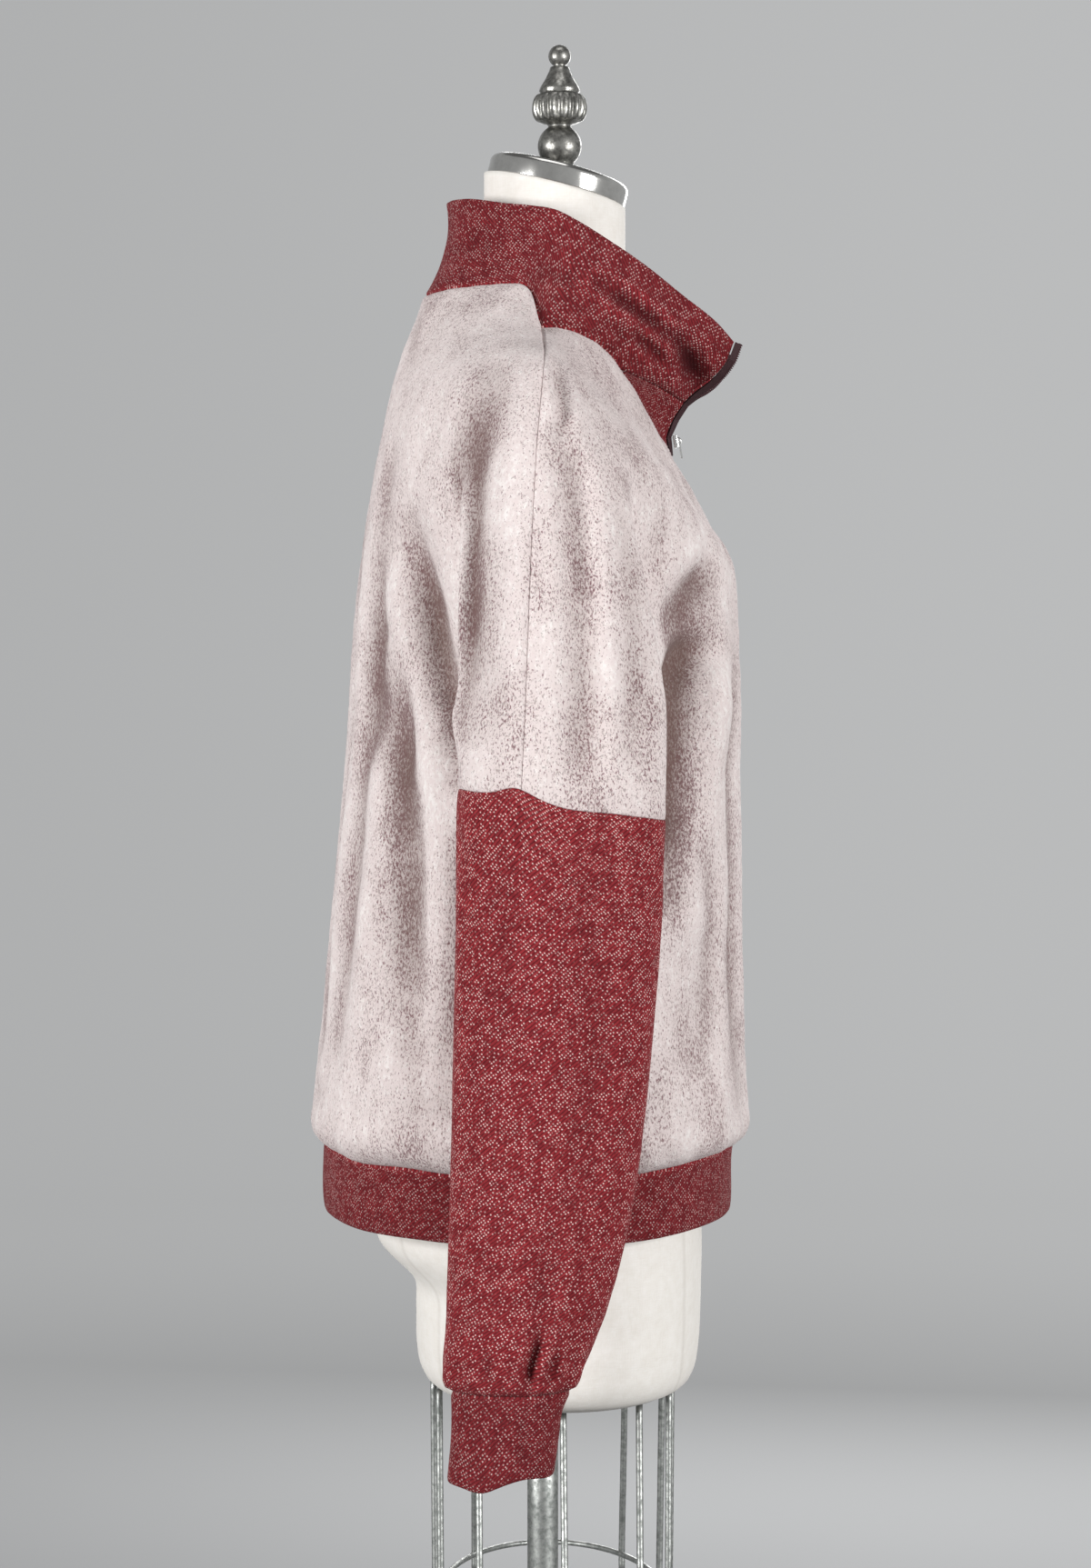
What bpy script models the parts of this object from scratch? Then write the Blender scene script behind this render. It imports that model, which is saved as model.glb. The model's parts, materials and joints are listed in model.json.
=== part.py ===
"""Half zip sweatshirt on a limbless dress form, with the form's pole, wire cage and base.

Metres, +Z up, the floor at Z = 0 and the origin at the middle of the base's underside. The garment's
front faces -Y and the wearer's right side is -X. Sizes in the tables are millimetres, and "out" is the
distance from the middle plane, so that one table serves the right and the left side.

The cloth is one outer surface, cut into pieces along its seams. Above the underarm each horizontal ring
of it goes from centre front over the valley beside the sleeve, round the sleeve and back to centre back.
Below the underarm the ring parts into the body and the two sleeves. Each piece is that surface and a
second one a wall thickness inside it, joined by a rim.
"""

import math
from collections import namedtuple

import bmesh
import bpy
import numpy as np
from mathutils import Matrix, Vector

MM = 0.001
POINT_WELD = 1e-3  # points of neighbouring patches this close are one

# Cloth
FLEECE_WALL = 2.4
TWILL_WALL = 2.0
DOUBLE_WALL = 3.0  # collar, cuffs and hem band are folded double
WALLS = {
    "front_panel": FLEECE_WALL,
    "back_panel": FLEECE_WALL,
    "collar": DOUBLE_WALL,
    "hem_band": DOUBLE_WALL,
    "cuff_right": DOUBLE_WALL,
    "cuff_left": DOUBLE_WALL,
}
SEAM_GAP = 0.3
MITRE_LIMIT = 0.4

# Grid of the cloth: columns in a quarter of the body and in half a sleeve, and rows between the seams
BODY_COLUMNS = 11
SLEEVE_COLUMNS = 8
UPPER_ROWS = 10
BODY_ROWS = 10
SLEEVE_ROWS = 3
LOWER_SLEEVE_ROWS = 12
CUFF_ROWS = 3
HEM_ROWS = 3
COLLAR_ROWS = 5
INSET_ROWS = 3
INSET_COLUMN = 8  # the column of the neckline where the collar, the inset and the front panel meet
ARC_SAMPLES = 400

# Form and stand
POLE_RADIUS = 11.0
BASE_RADIUS = 205.0
BASE_THICKNESS = 12.0
BASE_ROUNDING = 4.0
COLLAR_HEIGHT = 40.0
COLLAR_WALL = 8.0
COLLAR_BEVEL = 3.5
FORM_BOTTOM = 634.0
FORM_FOOT_RINGS = 4  # of the table, which round the form's lower edge
FORM_SEGMENTS = 32
NECK_CENTRE_Y = -9.0
NECK_TILT = math.radians(14.3)
NECK_TOP_Z = 1484.5
CAP_RADIUS = 50.5
CAP_THICKNESS = 15.0
CAP_ROUNDING = 5.0
FINIAL_Y = -12.0
FINIAL_SUNK = 12.0  # below the cap's face, where the foot is cut off square to the cap
FINIAL_FOOT_RADIUS = 8.0
FINIAL_CUT_SIZE = 60.0
Round = namedtuple("Round", "out z swell half_height")
FINIAL_BALL = Round(15.6, 1516.9, 0.0, 0.0)
FINIAL_KNOB = Round(8.0, 1581.4, 0.0, 0.0)
FINIAL_BEAD = Round(14.5, 1544.2, 5.4, 9.8)
FINIAL_CONE = ((6.6, 1575.0), (9.0, 1565.0), (14.3, 1555.0))
FINIAL_NECK = ((12.7, 1533.0), (11.0, 1527.5))
ROD_RADIUS = 2.4
RING_RADIUS = 2.0
RING_Z = 485.0
RING_POINTS = 36
RING_HALF_Y = 79.0
RING_HALF_OUT = 160.0
CAGE_CENTRE_Y = -7.0
ROD_ANGLES = (0, 18, 48, 88, 130, 163, 180, 197, 230, 272, 312, 342)
ROD_TOP_HALF_Y = 85.0
ROD_TOP_HALF_OUT = 121.0
ROD_TOP_CLEAR = 1.1
ROD_END_Z = 470.0
ROD_BENDS = (0.0, 0.3, 0.65, 1.0)  # shares of a rod's length

# Zip
TAPE_WIDTH = 5.0
TAPE_THICKNESS = 1.6
SECTIONS_BETWEEN = 25  # of a tape, from which the slider's seat is found
LEAST_TAPE_LEAN = 0.2  # of a tape towards the middle plane, where its width is worked out
SLIDER_SIZE = (7.0, 9.0, 3.0)
SLIDER_Z = 1305.5
SLIDER_LEAN = math.radians(10)
BAIL_RADIUS = 2.6
BAIL_WIRE = 0.5
BAIL_SUNK = 0.8  # the bail's feet in the slider's body
SLIDER_ROUNDING = 0.7
TAB_ROUNDING = 0.45
BAR_HEIGHT = 1.0  # of the tab's bar above the slider's face
TAB_LENGTH = 13.0
TAB_WIDTH = 4.8
TAB_THICKNESS = 1.0
EYE_WIDTH = 2.2
EYE_LENGTH = 3.0

# One row for each ring above the underarm: height at centre front and centre back, the overarm seam's
# point, depth at centre front and back, fullness of the front and back halves, where the valley beside
# the sleeve runs, how deep it is in front and behind, and how sharp.
Ring = namedtuple(
    "Ring",
    "front_z back_z seam_out seam_y seam_z front_y back_y front_full back_full "
    "valley_out front_valley back_valley sharpness",
)
RINGS = (
    Ring(1291, 1410, 105, 4.5, 1377.5, -94.0, 84.0, 1.35, 1.4, 84, 0, 0, 2.0),
    Ring(1264, 1376, 148, 4.0, 1363.5, -110.0, 97.0, 1.33, 1.8, 116, 0, 0, 2.0),
    Ring(1241, 1340, 186, 5.0, 1349.0, -122.5, 108.5, 1.42, 1.9, 148, 0, 0, 2.0),
    Ring(1220, 1300, 212, 8.0, 1322.0, -134.5, 117.0, 1.62, 2.0, 170, 4, 3, 1.9),
    Ring(1200, 1255, 234, 12.0, 1280.0, -137.2, 125.0, 2.05, 2.0, 186, 24, 13, 1.6),
    Ring(1172, 1205, 252, 15.5, 1222.0, -137.5, 132.0, 2.30, 1.9, 196, 55, 32, 1.1),
    Ring(1145, 1160, 265, 18.0, 1166.0, -137.3, 135.0, 2.45, 1.9, 202, 86, 62, 0.85),
    Ring(1118, 1118, 274, 20.0, 1118.0, -137.2, 136.5, 2.50, 1.8, 206, 106, 93, 0.62),
)
RING_RISE = 1.7  # how late a ring rises from its middle to the overarm seam
UNDERARM = (206.0, 5.0, 1118.0)
VALLEY_TO_CHEST = 150.0
VALLEY_TO_SLEEVE = 45.0
NECKLINE_FADE = 0.28  # share of the rings over which the neckline's own shape fades out
UNDERARM_FADE = 55.0  # height over which the ring at the underarm turns into body and sleeve

# The neckline, out, y, z, from centre front to the overarm seam and from centre back to it
FRONT_NECKLINE = (
    (0, -94, 1291), (15, -84, 1306.5), (35, -73, 1322.5), (50, -64, 1338), (70, -48.5, 1358.6),
    (82, -38.4, 1368), (93, -23.4, 1374.7), (102, -6, 1378), (105, 4.5, 1377.5),
)
BACK_NECKLINE = (
    (0, 84, 1410), (27, 79, 1410), (48, 67.5, 1410.5), (65, 48.5, 1410.6), (76, 29, 1411),
    (82, 16, 1409), (87, 10.5, 1403), (95, 8, 1394), (101, 6, 1384), (105, 4.5, 1377.5),
)
ZIP_CLEAR = 0.034  # share of the front neckline that the closed zip takes beside centre front
INSET_SHARE = 0.54  # share of the front neckline where the inset ends
NECKLINE_SPLIT = 0.73  # share of a neckline that lies on the body side of the valley

# Body below the underarm: height, depth in front and behind, half width, place of the side seam
BodyRing = namedtuple("BodyRing", "z front_y back_y half_width side_y")
BODY_RINGS = (
    BodyRing(1118, -137.2, 136.5, 206.0, 5.0),
    BodyRing(1070, -137.8, 140.0, 203.5, 6.0),
    BodyRing(1010, -139.0, 146.0, 203.0, 7.5),
    BodyRing(950, -139.7, 151.5, 204.0, 9.0),
    BodyRing(890, -142.5, 157.0, 205.0, 10.5),
    BodyRing(850, -144.2, 161.8, 205.0, 11.0),
    BodyRing(828, -143.8, 162.6, 203.5, 11.5),
    BodyRing(816, -140.8, 160.5, 199.0, 11.7),
    BodyRing(809, -134.5, 155.8, 190.0, 11.7),
)
BODY_FULLNESS = 2.3
BODY_CROWDING = 1.35  # how much closer the body's rows are near the hem
SIDE_CROWDING = 1.2  # how much closer the columns of a body ring are near its side
HEM_RINGS = (
    BodyRing(809.0, -134.5, 155.8, 190.0, 11.7),
    BodyRing(800.0, -133.2, 156.4, 188.0, 11.7),
    BodyRing(770.0, -133.0, 156.6, 187.5, 11.7),
    BodyRing(760.5, -132.0, 155.4, 186.5, 11.7),
)

# Sleeve: height at y = 0, how the ring leans (rise for each mm towards the back), depth in front and
# behind, the inner and outer sides and where these two lie from front to back
SleeveRing = namedtuple("SleeveRing", "z lean front_y back_y inner_out outer_out inner_y outer_y")
UPPER_SLEEVE_RINGS = (
    SleeveRing(1118, 0.00, -71.0, 59.5, 206.0, 274.0, 5.0, 20.0),
    SleeveRing(1086, 0.07, -72.6, 61.5, 209.5, 281.0, 4.0, 21.5),
    SleeveRing(1053, 0.15, -72.6, 63.0, 211.0, 285.5, 3.0, 23.0),
)
LOWER_SLEEVE_RINGS = (
    SleeveRing(1053, 0.15, -72.6, 63.0, 211.0, 285.5, 3.0, 23.0),
    SleeveRing(1046, 0.14, -72.4, 63.6, 210.8, 287.0, 2.8, 22.0),
    SleeveRing(1010, 0.10, -70.5, 64.3, 211.0, 288.5, 2.0, 15.0),
    SleeveRing(953, 0.05, -67.5, 65.4, 212.0, 289.0, 1.0, 8.0),
    SleeveRing(895, 0.02, -63.0, 66.8, 212.0, 288.5, 2.0, 5.0),
    SleeveRing(836, 0.00, -57.0, 68.2, 213.0, 288.0, 5.0, 6.0),
    SleeveRing(785, 0.00, -49.5, 69.0, 214.5, 287.0, 10.0, 10.0),
    SleeveRing(740, 0.00, -38.5, 70.4, 216.5, 285.0, 16.0, 16.0),
    SleeveRing(708, 0.00, -28.0, 72.0, 218.5, 283.0, 22.0, 22.0),
    SleeveRing(686, 0.00, -19.5, 74.2, 220.0, 281.0, 27.0, 27.0),
    SleeveRing(676, 0.00, -15.5, 73.0, 221.5, 279.5, 29.0, 29.0),
    SleeveRing(671, 0.00, -10.5, 68.2, 224.0, 277.0, 30.0, 30.0),
)
CUFF_RINGS = (
    SleeveRing(671, 0.00, -10.5, 68.2, 224.0, 277.0, 30.0, 30.0),
    SleeveRing(658, -0.02, -5.0, 67.8, 223.0, 277.5, 31.0, 31.0),
    SleeveRing(640, -0.04, -2.5, 68.4, 222.5, 277.5, 33.0, 33.0),
    SleeveRing(616, -0.06, 0.5, 71.0, 222.5, 277.5, 35.5, 35.5),
)
SLEEVE_FULLNESS = 2.1
SLEEVE_CROWDING = 1.25  # how much closer the sleeve's rows are near the cuff

# The largest folds of the body and sleeves: a line from (y, z) to (y, z) as seen from the side, on the
# front or the back half, with its depth and half width
Fold = namedtuple("Fold", "half top_y top_z bottom_y bottom_z depth half_width")
FOLD_RUN_OUT = 0.15  # share of a fold's length over which it runs out past each end
FOLD_CLEAR_OF_MIDDLE = 60.0  # a fold seen from the side fades out towards centre front and back
FOLD_INWARDS = 0.75  # parts of a fold's depth towards the middle plane and across it
FOLD_ACROSS = 0.65
FOLDS = (
    Fold("back", 92, 1235, 66, 1120, 7.0, 17.0),
    Fold("back", 108, 1120, 92, 890, 5.0, 20.0),
    Fold("front", -105, 1160, -92, 1040, 6.0, 18.0),
    Fold("front", -98, 960, -104, 860, 3.5, 18.0),
    Fold("front", -20, 1280, -18, 1075, 4.0, 15.0),
)

# Collar: its top edge and its zip edge, and how far the wall between leans from a straight line
COLLAR_TOP = (
    (45, -134, 1373), (50, -121, 1387), (57, -95, 1407), (65, -71, 1425), (72, -46, 1441),
    (78, -22, 1455), (80, -5, 1462.5), (77, 12, 1465), (68, 28, 1467.5), (45, 53, 1473.5),
    (24, 64, 1475.5), (0, 69, 1476.5),
)
ZIP_EDGE = (
    (15, -100, 1332), (22, -108, 1339.5), (32, -119, 1348), (40.5, -128.5, 1359), (45, -134, 1373),
)
INSET_ZIP_EDGE = ((5.6, -89.9, 1297.5), (5.8, -88.5, 1307), (8.5, -93, 1320.5), (15, -100, 1332))
INSET_SWELL = 2.0
COLLAR_SWELL_FRONT = 4.0
COLLAR_SWELL_BACK = -7.0
COLLAR_SWELL_TURN = 0.25  # share of the collar's length where its lean starts to turn
COLLAR_SWELL_CHANGE = 0.4  # and the share over which it does
ZIP_EDGE_REACH = 0.12  # share of the collar's length that follows the zip edge

# Form: height, half width, depth in front and behind, place of the side, fullness
FormRing = namedtuple("FormRing", "z half_width front_y back_y side_y fullness")
FORM_RINGS = (
    FormRing(634.0, 128, -92, 70, -8, 2.1),
    FormRing(638.5, 143, -101, 80, -8, 2.1),
    FormRing(647.0, 152, -107, 86.5, -8, 2.1),
    FormRing(664.0, 158, -110.5, 90, -7, 2.1),
    FormRing(690.0, 161, -112, 90.5, -6, 2.1),
    FormRing(712.0, 165, -112.5, 92.5, -4, 2.1),
    FormRing(738.0, 168, -113, 117, 0, 2.1),
    FormRing(765.0, 170, -112, 120, 2, 2.1),
    FormRing(800.0, 171, -108, 119, 3, 2.1),
    FormRing(850.0, 168, -101, 115, 3, 2.1),
    FormRing(905.0, 158, -95, 103, 2, 2.1),
    FormRing(960.0, 141, -90, 88, 0, 2.1),
    FormRing(1010.0, 127, -89, 78, -2, 2.1),
    FormRing(1060.0, 130, -95, 82, -2, 2.1),
    FormRing(1110.0, 139, -108, 93, -2, 2.1),
    FormRing(1160.0, 152, -123, 104, -2, 2.1),
    FormRing(1202.0, 162, -130, 111, 0, 2.1),
    FormRing(1240.0, 168, -112, 111, 2, 2.0),
    FormRing(1275.0, 173, -91, 107, 4, 1.85),
    FormRing(1305.0, 177, -77, 100, 5, 1.7),
    FormRing(1325.0, 179, -68, 93, 5, 1.6),
    FormRing(1338.0, 178, -63, 86, 5, 1.5),
    FormRing(1348.3, 167, -57.5, 80, 5, 1.42),
    FormRing(1360.3, 145.5, -55.5, 73, 4, 1.36),
    FormRing(1374.0, 104, -56.5, 65, 3, 1.45),
    FormRing(1388.0, 70, -57, 57, -4, 1.8),
    FormRing(1405.0, 56, -58, 50, -7, 2.0),
    FormRing(1430.0, 50.5, -59, 42, -9, 2.0),
)


# --------------------------------------------------------------------------------------------------
# Curves and rings
# --------------------------------------------------------------------------------------------------

def smooth(knots, values, at):
    """A smooth curve through values at knots: cubic pieces whose slopes are the neighbours' mean."""
    knots = np.asarray(knots, float)
    values = np.asarray(values, float).reshape(len(knots), -1)
    at = np.asarray(at, float)
    chord = np.diff(values, axis=0) / np.diff(knots)[:, None]
    slope = np.vstack([chord[:1], (chord[1:] + chord[:-1]) / 2, chord[-1:]])
    piece = np.clip(np.searchsorted(knots, at, side="right") - 1, 0, len(knots) - 2)
    width = (knots[piece + 1] - knots[piece])[:, None]
    t = (at - knots[piece])[:, None] / width
    start = values[piece] * (2 * t**3 - 3 * t**2 + 1) + slope[piece] * width * (t**3 - 2 * t**2 + t)
    end = values[piece + 1] * (3 * t**2 - 2 * t**3) + slope[piece + 1] * width * (t**3 - t**2)
    return start + end


def lengths(points):
    """How far along a line of points each one lies, as a share of the whole."""
    steps = np.linalg.norm(np.diff(points, axis=0), axis=1)
    along = np.concatenate([[0.0], np.cumsum(steps)])
    return along / along[-1]


def resampled(points, shares):
    """The points of a line at the given shares of its length."""
    along = lengths(points)
    return np.stack([np.interp(shares, along, points[:, axis]) for axis in range(3)], axis=1)


def smooth_line(points, shares):
    """A smooth line through a few points, read at the given shares of its length."""
    points = np.asarray(points, float)
    dense = smooth(lengths(points), points, np.linspace(0, 1, ARC_SAMPLES))
    return resampled(dense, shares)


def table_row(rows, knots, at):
    """The named values of a table between its rows."""
    return type(rows[0])(*smooth(knots, rows, [at])[0])


def side_crowded(count):
    """Shares of a quarter ring, closer together near the side, where the folds are."""
    return 1 - (1 - np.linspace(0, 1, count + 1)) ** SIDE_CROWDING


# --------------------------------------------------------------------------------------------------
# The cloth's outer surface, in millimetres, on the side where out is positive
# --------------------------------------------------------------------------------------------------

def valley_profile(distance, sharpness):
    """1 at the bottom of the valley beside the sleeve, falling to 0 at distance 1."""
    return (1 - np.clip(distance, 0, 1) ** sharpness) ** 2


def half_ring(ring, half):
    """The points of one upper ring from its middle to the overarm seam, and those at the valley."""
    front = half == "front"
    middle_y, middle_z = (ring.front_y, ring.front_z) if front else (ring.back_y, ring.back_z)
    fullness = ring.front_full if front else ring.back_full
    depth = ring.front_valley if front else ring.back_valley
    inner = np.linspace(0, 1, ARC_SAMPLES) * ring.valley_out
    rise = np.sin(np.linspace(0, np.pi / 2, ARC_SAMPLES))
    outer = ring.valley_out + (ring.seam_out - ring.valley_out) * rise
    parts = []
    for out, reach in ((inner, VALLEY_TO_CHEST), (outer, VALLEY_TO_SLEEVE)):
        share = np.clip(out / ring.seam_out, 0, 1)
        swell = (1 - share**fullness) ** (1 / fullness)
        y = ring.seam_y + (middle_y - ring.seam_y) * swell
        valley = depth * valley_profile(np.abs(out - ring.valley_out) / reach, ring.sharpness)
        y = y + (valley if front else -valley)
        z = middle_z + (ring.seam_z - middle_z) * share**RING_RISE
        parts.append(np.stack([out, y, z], axis=1))
    return parts


def quarter(start, end, shares, fullness):
    """A superellipse quarter from a point where it runs sideways to one where it runs front to back."""
    angle = np.linspace(0, np.pi / 2, ARC_SAMPLES)
    across = np.sin(angle) ** (2 / fullness)
    down = np.cos(angle) ** (2 / fullness)
    out = start[0] + (end[0] - start[0]) * across
    y = end[1] + (start[1] - end[1]) * down
    z = start[2] + (end[2] - start[2]) * across
    return resampled(np.stack([out, y, z], axis=1), shares)


def body_quarter(ring, half, shares):
    """A quarter of a body ring, from its middle to the side seam."""
    middle_y = ring.front_y if half == "front" else ring.back_y
    return quarter((0, middle_y, ring.z), (ring.half_width, ring.side_y, ring.z), shares, BODY_FULLNESS)


def sleeve_half(ring, half, shares):
    """Half a sleeve ring, from the underarm seam over its front or back to the overarm seam."""
    far_y = ring.front_y if half == "front" else ring.back_y
    middle_out = (ring.inner_out + ring.outer_out) / 2
    far = (middle_out, far_y, ring.z)
    dense = np.linspace(0, 1, ARC_SAMPLES)
    inner = quarter(far, (ring.inner_out, ring.inner_y, ring.z), dense, SLEEVE_FULLNESS)[::-1]
    outer = quarter(far, (ring.outer_out, ring.outer_y, ring.z), dense, SLEEVE_FULLNESS)
    line = resampled(np.concatenate([inner, outer[1:]]), shares)
    line[:, 2] = ring.z + ring.lean * line[:, 1]
    return line


def neckline(half, inset_columns):
    """A neckline's points: the columns of the body side and those of the sleeve side."""
    points = FRONT_NECKLINE if half == "front" else BACK_NECKLINE
    outer = np.linspace(NECKLINE_SPLIT, 1, SLEEVE_COLUMNS + 1)
    if half == "front":
        inset = np.linspace(ZIP_CLEAR, INSET_SHARE, inset_columns)
        rest = np.linspace(INSET_SHARE, NECKLINE_SPLIT, BODY_COLUMNS - inset_columns + 1)
        inner = np.concatenate([[0.0], inset, rest[1:]])
    else:
        inner = np.linspace(0, NECKLINE_SPLIT, BODY_COLUMNS + 1)
    return smooth_line(points, inner), smooth_line(points, outer)


def upper_grids(half):
    """The cloth above the underarm: a grid from the middle to the valley and one on to the seam."""
    levels = np.linspace(0, 1, UPPER_ROWS + 1)
    shares = (side_crowded(BODY_COLUMNS), np.linspace(0, 1, SLEEVE_COLUMNS + 1))
    rows = []
    for level in levels:
        ring = table_row(RINGS, np.linspace(0, 1, len(RINGS)), level)
        rows.append([resampled(part, share) for part, share in zip(half_ring(ring, half), shares)])
    grids = [np.array([row[side] for row in rows]) for side in (0, 1)]
    fade = np.clip(1 - levels / NECKLINE_FADE, 0, 1)
    fade = (fade**2 * (3 - 2 * fade))[:, None, None]
    for grid, own in zip(grids, neckline(half, INSET_COLUMN)):
        grid += fade * (own - grid[0])
    grids[0][-1, -1] = UNDERARM
    grids[1][-1, 0] = UNDERARM
    return grids


def body_grid(half, last_row):
    """The body below the underarm, whose first row is the last row of the upper grid."""
    shares = side_crowded(BODY_COLUMNS)
    heights = [ring.z for ring in BODY_RINGS]
    steps = np.linspace(0, 1, BODY_ROWS + 1)
    levels = heights[0] + (heights[-1] - heights[0]) * (1 - (1 - steps) ** BODY_CROWDING)
    rings = [table_row(BODY_RINGS[::-1], heights[::-1], level) for level in levels]
    grid = np.array([body_quarter(ring, half, shares) for ring in rings])
    return settled(grid, last_row, heights[0] - levels)


def sleeve_grid(half, last_row):
    """The sleeve from the underarm to the lower sleeve's seam, joined on in the same way."""
    shares = np.linspace(0, 1, SLEEVE_COLUMNS + 1)
    knots = np.linspace(0, 1, len(UPPER_SLEEVE_RINGS))
    rings = [table_row(UPPER_SLEEVE_RINGS, knots, at) for at in np.linspace(0, 1, SLEEVE_ROWS + 1)]
    grid = np.array([sleeve_half(ring, half, shares) for ring in rings])
    return settled(grid, last_row, np.array([rings[0].z - ring.z for ring in rings]))


def settled(grid, first_row, drop):
    """The grid with its first row moved onto another line, the move fading out further down."""
    fade = np.clip(1 - drop / UNDERARM_FADE, 0, 1)
    fade = (fade**2 * (3 - 2 * fade))[:, None, None]
    return grid + fade * (first_row - grid[0])


def folded(grid, half):
    """The grid with the largest folds sunk into it, each a soft trough along a line seen from the side."""
    out, y, z = np.moveaxis(grid, -1, 0)
    sunk = np.zeros_like(y)
    for fold in FOLDS:
        if fold.half != half:
            continue
        share = (fold.top_z - z) / (fold.top_z - fold.bottom_z)
        line_y = fold.top_y + (fold.bottom_y - fold.top_y) * share
        from_end = np.minimum(share, 1 - share) + FOLD_RUN_OUT
        ends = np.clip(from_end / (2 * FOLD_RUN_OUT), 0, 1)
        near = np.exp(-(((y - line_y) / fold.half_width) ** 2))
        sunk += fold.depth * near * ends**2 * (3 - 2 * ends)
    sunk *= np.clip(out / FOLD_CLEAR_OF_MIDDLE, 0, 1)
    moved = grid.copy()
    moved[..., 0] -= sunk * FOLD_INWARDS
    moved[..., 1] -= sunk * FOLD_ACROSS * np.sign(y - UNDERARM[1])
    return moved


# --------------------------------------------------------------------------------------------------
# Cloth pieces
# --------------------------------------------------------------------------------------------------

def grid_faces(rows, columns):
    """The four-sided faces of a grid whose points run along its rows."""
    index = np.arange(rows * columns).reshape(rows, columns)
    corners = (index[:-1, :-1], index[1:, :-1], index[1:, 1:], index[:-1, 1:])
    return np.stack([corner.ravel() for corner in corners], axis=1)


class Patch:
    """A grid of points of one cloth piece, with its faces looking out of the garment."""

    def __init__(self, piece, grid, side, turned):
        points = np.asarray(grid, float).reshape(-1, 3).copy()
        faces = grid_faces(grid.shape[0], grid.shape[1])
        if turned:
            faces = faces[:, ::-1]
        if side == "right":
            points[:, 0] *= -1
            faces = faces[:, ::-1]
        self.piece = piece
        self.points = points
        self.faces = faces


def point_keys(points):
    """Whole numbers that points at the same place share."""
    return np.round(points / POINT_WELD).astype(np.int64)


def welded(patches):
    """The points and faces of several patches as one sheet, points at the same place made one."""
    points = np.concatenate([patch.points for patch in patches])
    starts = np.cumsum([0] + [len(patch.points) for patch in patches])
    faces = np.concatenate([patch.faces + start for patch, start in zip(patches, starts)])
    _, first, index = np.unique(point_keys(points), axis=0, return_index=True, return_inverse=True)
    faces = index.reshape(-1)[faces]
    return points[first], faces


def wall_directions(points, faces):
    """For each point the mean normal of its faces, longer where they meet at an angle, as in a mitre."""
    corners = points[faces]
    across = np.cross(corners[:, 2] - corners[:, 0], corners[:, 3] - corners[:, 1])
    unit = across / np.linalg.norm(across, axis=1, keepdims=True)
    normals = np.zeros_like(points)
    for corner in range(4):
        np.add.at(normals, faces[:, corner], unit)
    normals /= np.linalg.norm(normals, axis=1, keepdims=True)
    lean = np.zeros(len(points))
    count = np.zeros(len(points))
    for corner in range(4):
        np.add.at(lean, faces[:, corner], (unit * normals[faces[:, corner]]).sum(axis=1))
        np.add.at(count, faces[:, corner], 1)
    return normals / np.clip(lean / count, MITRE_LIMIT, 1)[:, None]


def rim_edges(faces):
    """The sheet's open edges, in the direction in which their face runs."""
    edges = np.concatenate([faces[:, [i, (i + 1) % 4]] for i in range(4)])
    owner = np.tile(np.arange(len(faces)), 4)
    real = edges[:, 0] != edges[:, 1]
    edges, owner = edges[real], owner[real]
    key = np.sort(edges, axis=1)
    _, index, count = np.unique(key, axis=0, return_inverse=True, return_counts=True)
    single = count[index.reshape(-1)] == 1
    return edges[single], owner[single]


def seam_retreat(points, faces, normals):
    """For each point on an open edge, the way back into the sheet by half the seam's gap."""
    edges, owner = rim_edges(faces)
    retreat = np.zeros_like(points)
    run = points[edges[:, 1]] - points[edges[:, 0]]
    normal = normals[edges[:, 0]] + normals[edges[:, 1]]
    inward = np.cross(normal, run)
    inward /= np.linalg.norm(inward, axis=1, keepdims=True)
    centre = points[faces[owner]].mean(axis=1) - points[edges].mean(axis=1)
    inward *= np.sign((inward * centre).sum(axis=1))[:, None]
    for end in (0, 1):
        np.add.at(retreat, edges[:, end], inward)
    size = np.linalg.norm(retreat, axis=1, keepdims=True)
    size[size == 0] = 1
    return retreat / size * (SEAM_GAP / 2)


def walled(points, faces, normals, wall):
    """A closed wall: the sheet, a second one inside it and a rim along the open edges."""
    back = seam_retreat(points, faces, normals)
    outer = points + back
    inner = outer - normals * wall
    edges, _ = rim_edges(faces)
    count = len(points)
    rim = []
    for a, b in edges:
        # Both neighbours of a seam split the rim from the same corner, so that their rims stay parallel
        if tuple(points[a, [2, 1, 0]]) > tuple(points[b, [2, 1, 0]]):
            rim += [(a, a + count, b + count), (b, a, b + count)]
        else:
            rim += [(b, a, a + count), (b, a + count, b + count)]
    return np.concatenate([outer, inner]), [*faces, *faces[:, ::-1] + count, *rim]


def mesh_object(name, points, faces, material):
    """An object from points in millimetres and faces of three or four corners."""
    mesh = bpy.data.meshes.new(name)
    clean = []
    for face in faces:
        corners = list(dict.fromkeys(int(i) for i in face))
        if len(corners) > 2:
            clean.append(corners)
    mesh.from_pydata([tuple(p) for p in np.asarray(points) * MM], [], clean)
    mesh.update()
    return finished(bpy.data.objects.new(name, mesh), material)


Panel = namedtuple("Panel", "inner outer body sleeve")


def panel_grids(half):
    """The four grids of the front or the back panel: two above the underarm, the body and the sleeve."""
    inner, outer = upper_grids(half)
    body = body_grid(half, inner[-1])
    sleeve = sleeve_grid(half, outer[-1])
    panel = Panel(*(folded(grid, half) for grid in (inner, outer, body, sleeve)))
    panel.inner[-1, -1] = panel.outer[-1, 0] = panel.body[0, -1] = panel.sleeve[0, 0] = UNDERARM
    return panel


def share_side_lines(front, back):
    """Front and back keep one line where they meet: the overarm seam and the side and underarm seam."""
    for place, column in (("outer", -1), ("body", -1), ("sleeve", 0), ("sleeve", -1)):
        one, other = getattr(front, place), getattr(back, place)
        shared = (one[:, column] + other[:, column]) / 2
        one[:, column] = shared
        other[:, column] = shared
    for panel in (front, back):
        panel.outer[-1] = panel.sleeve[0]


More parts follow.
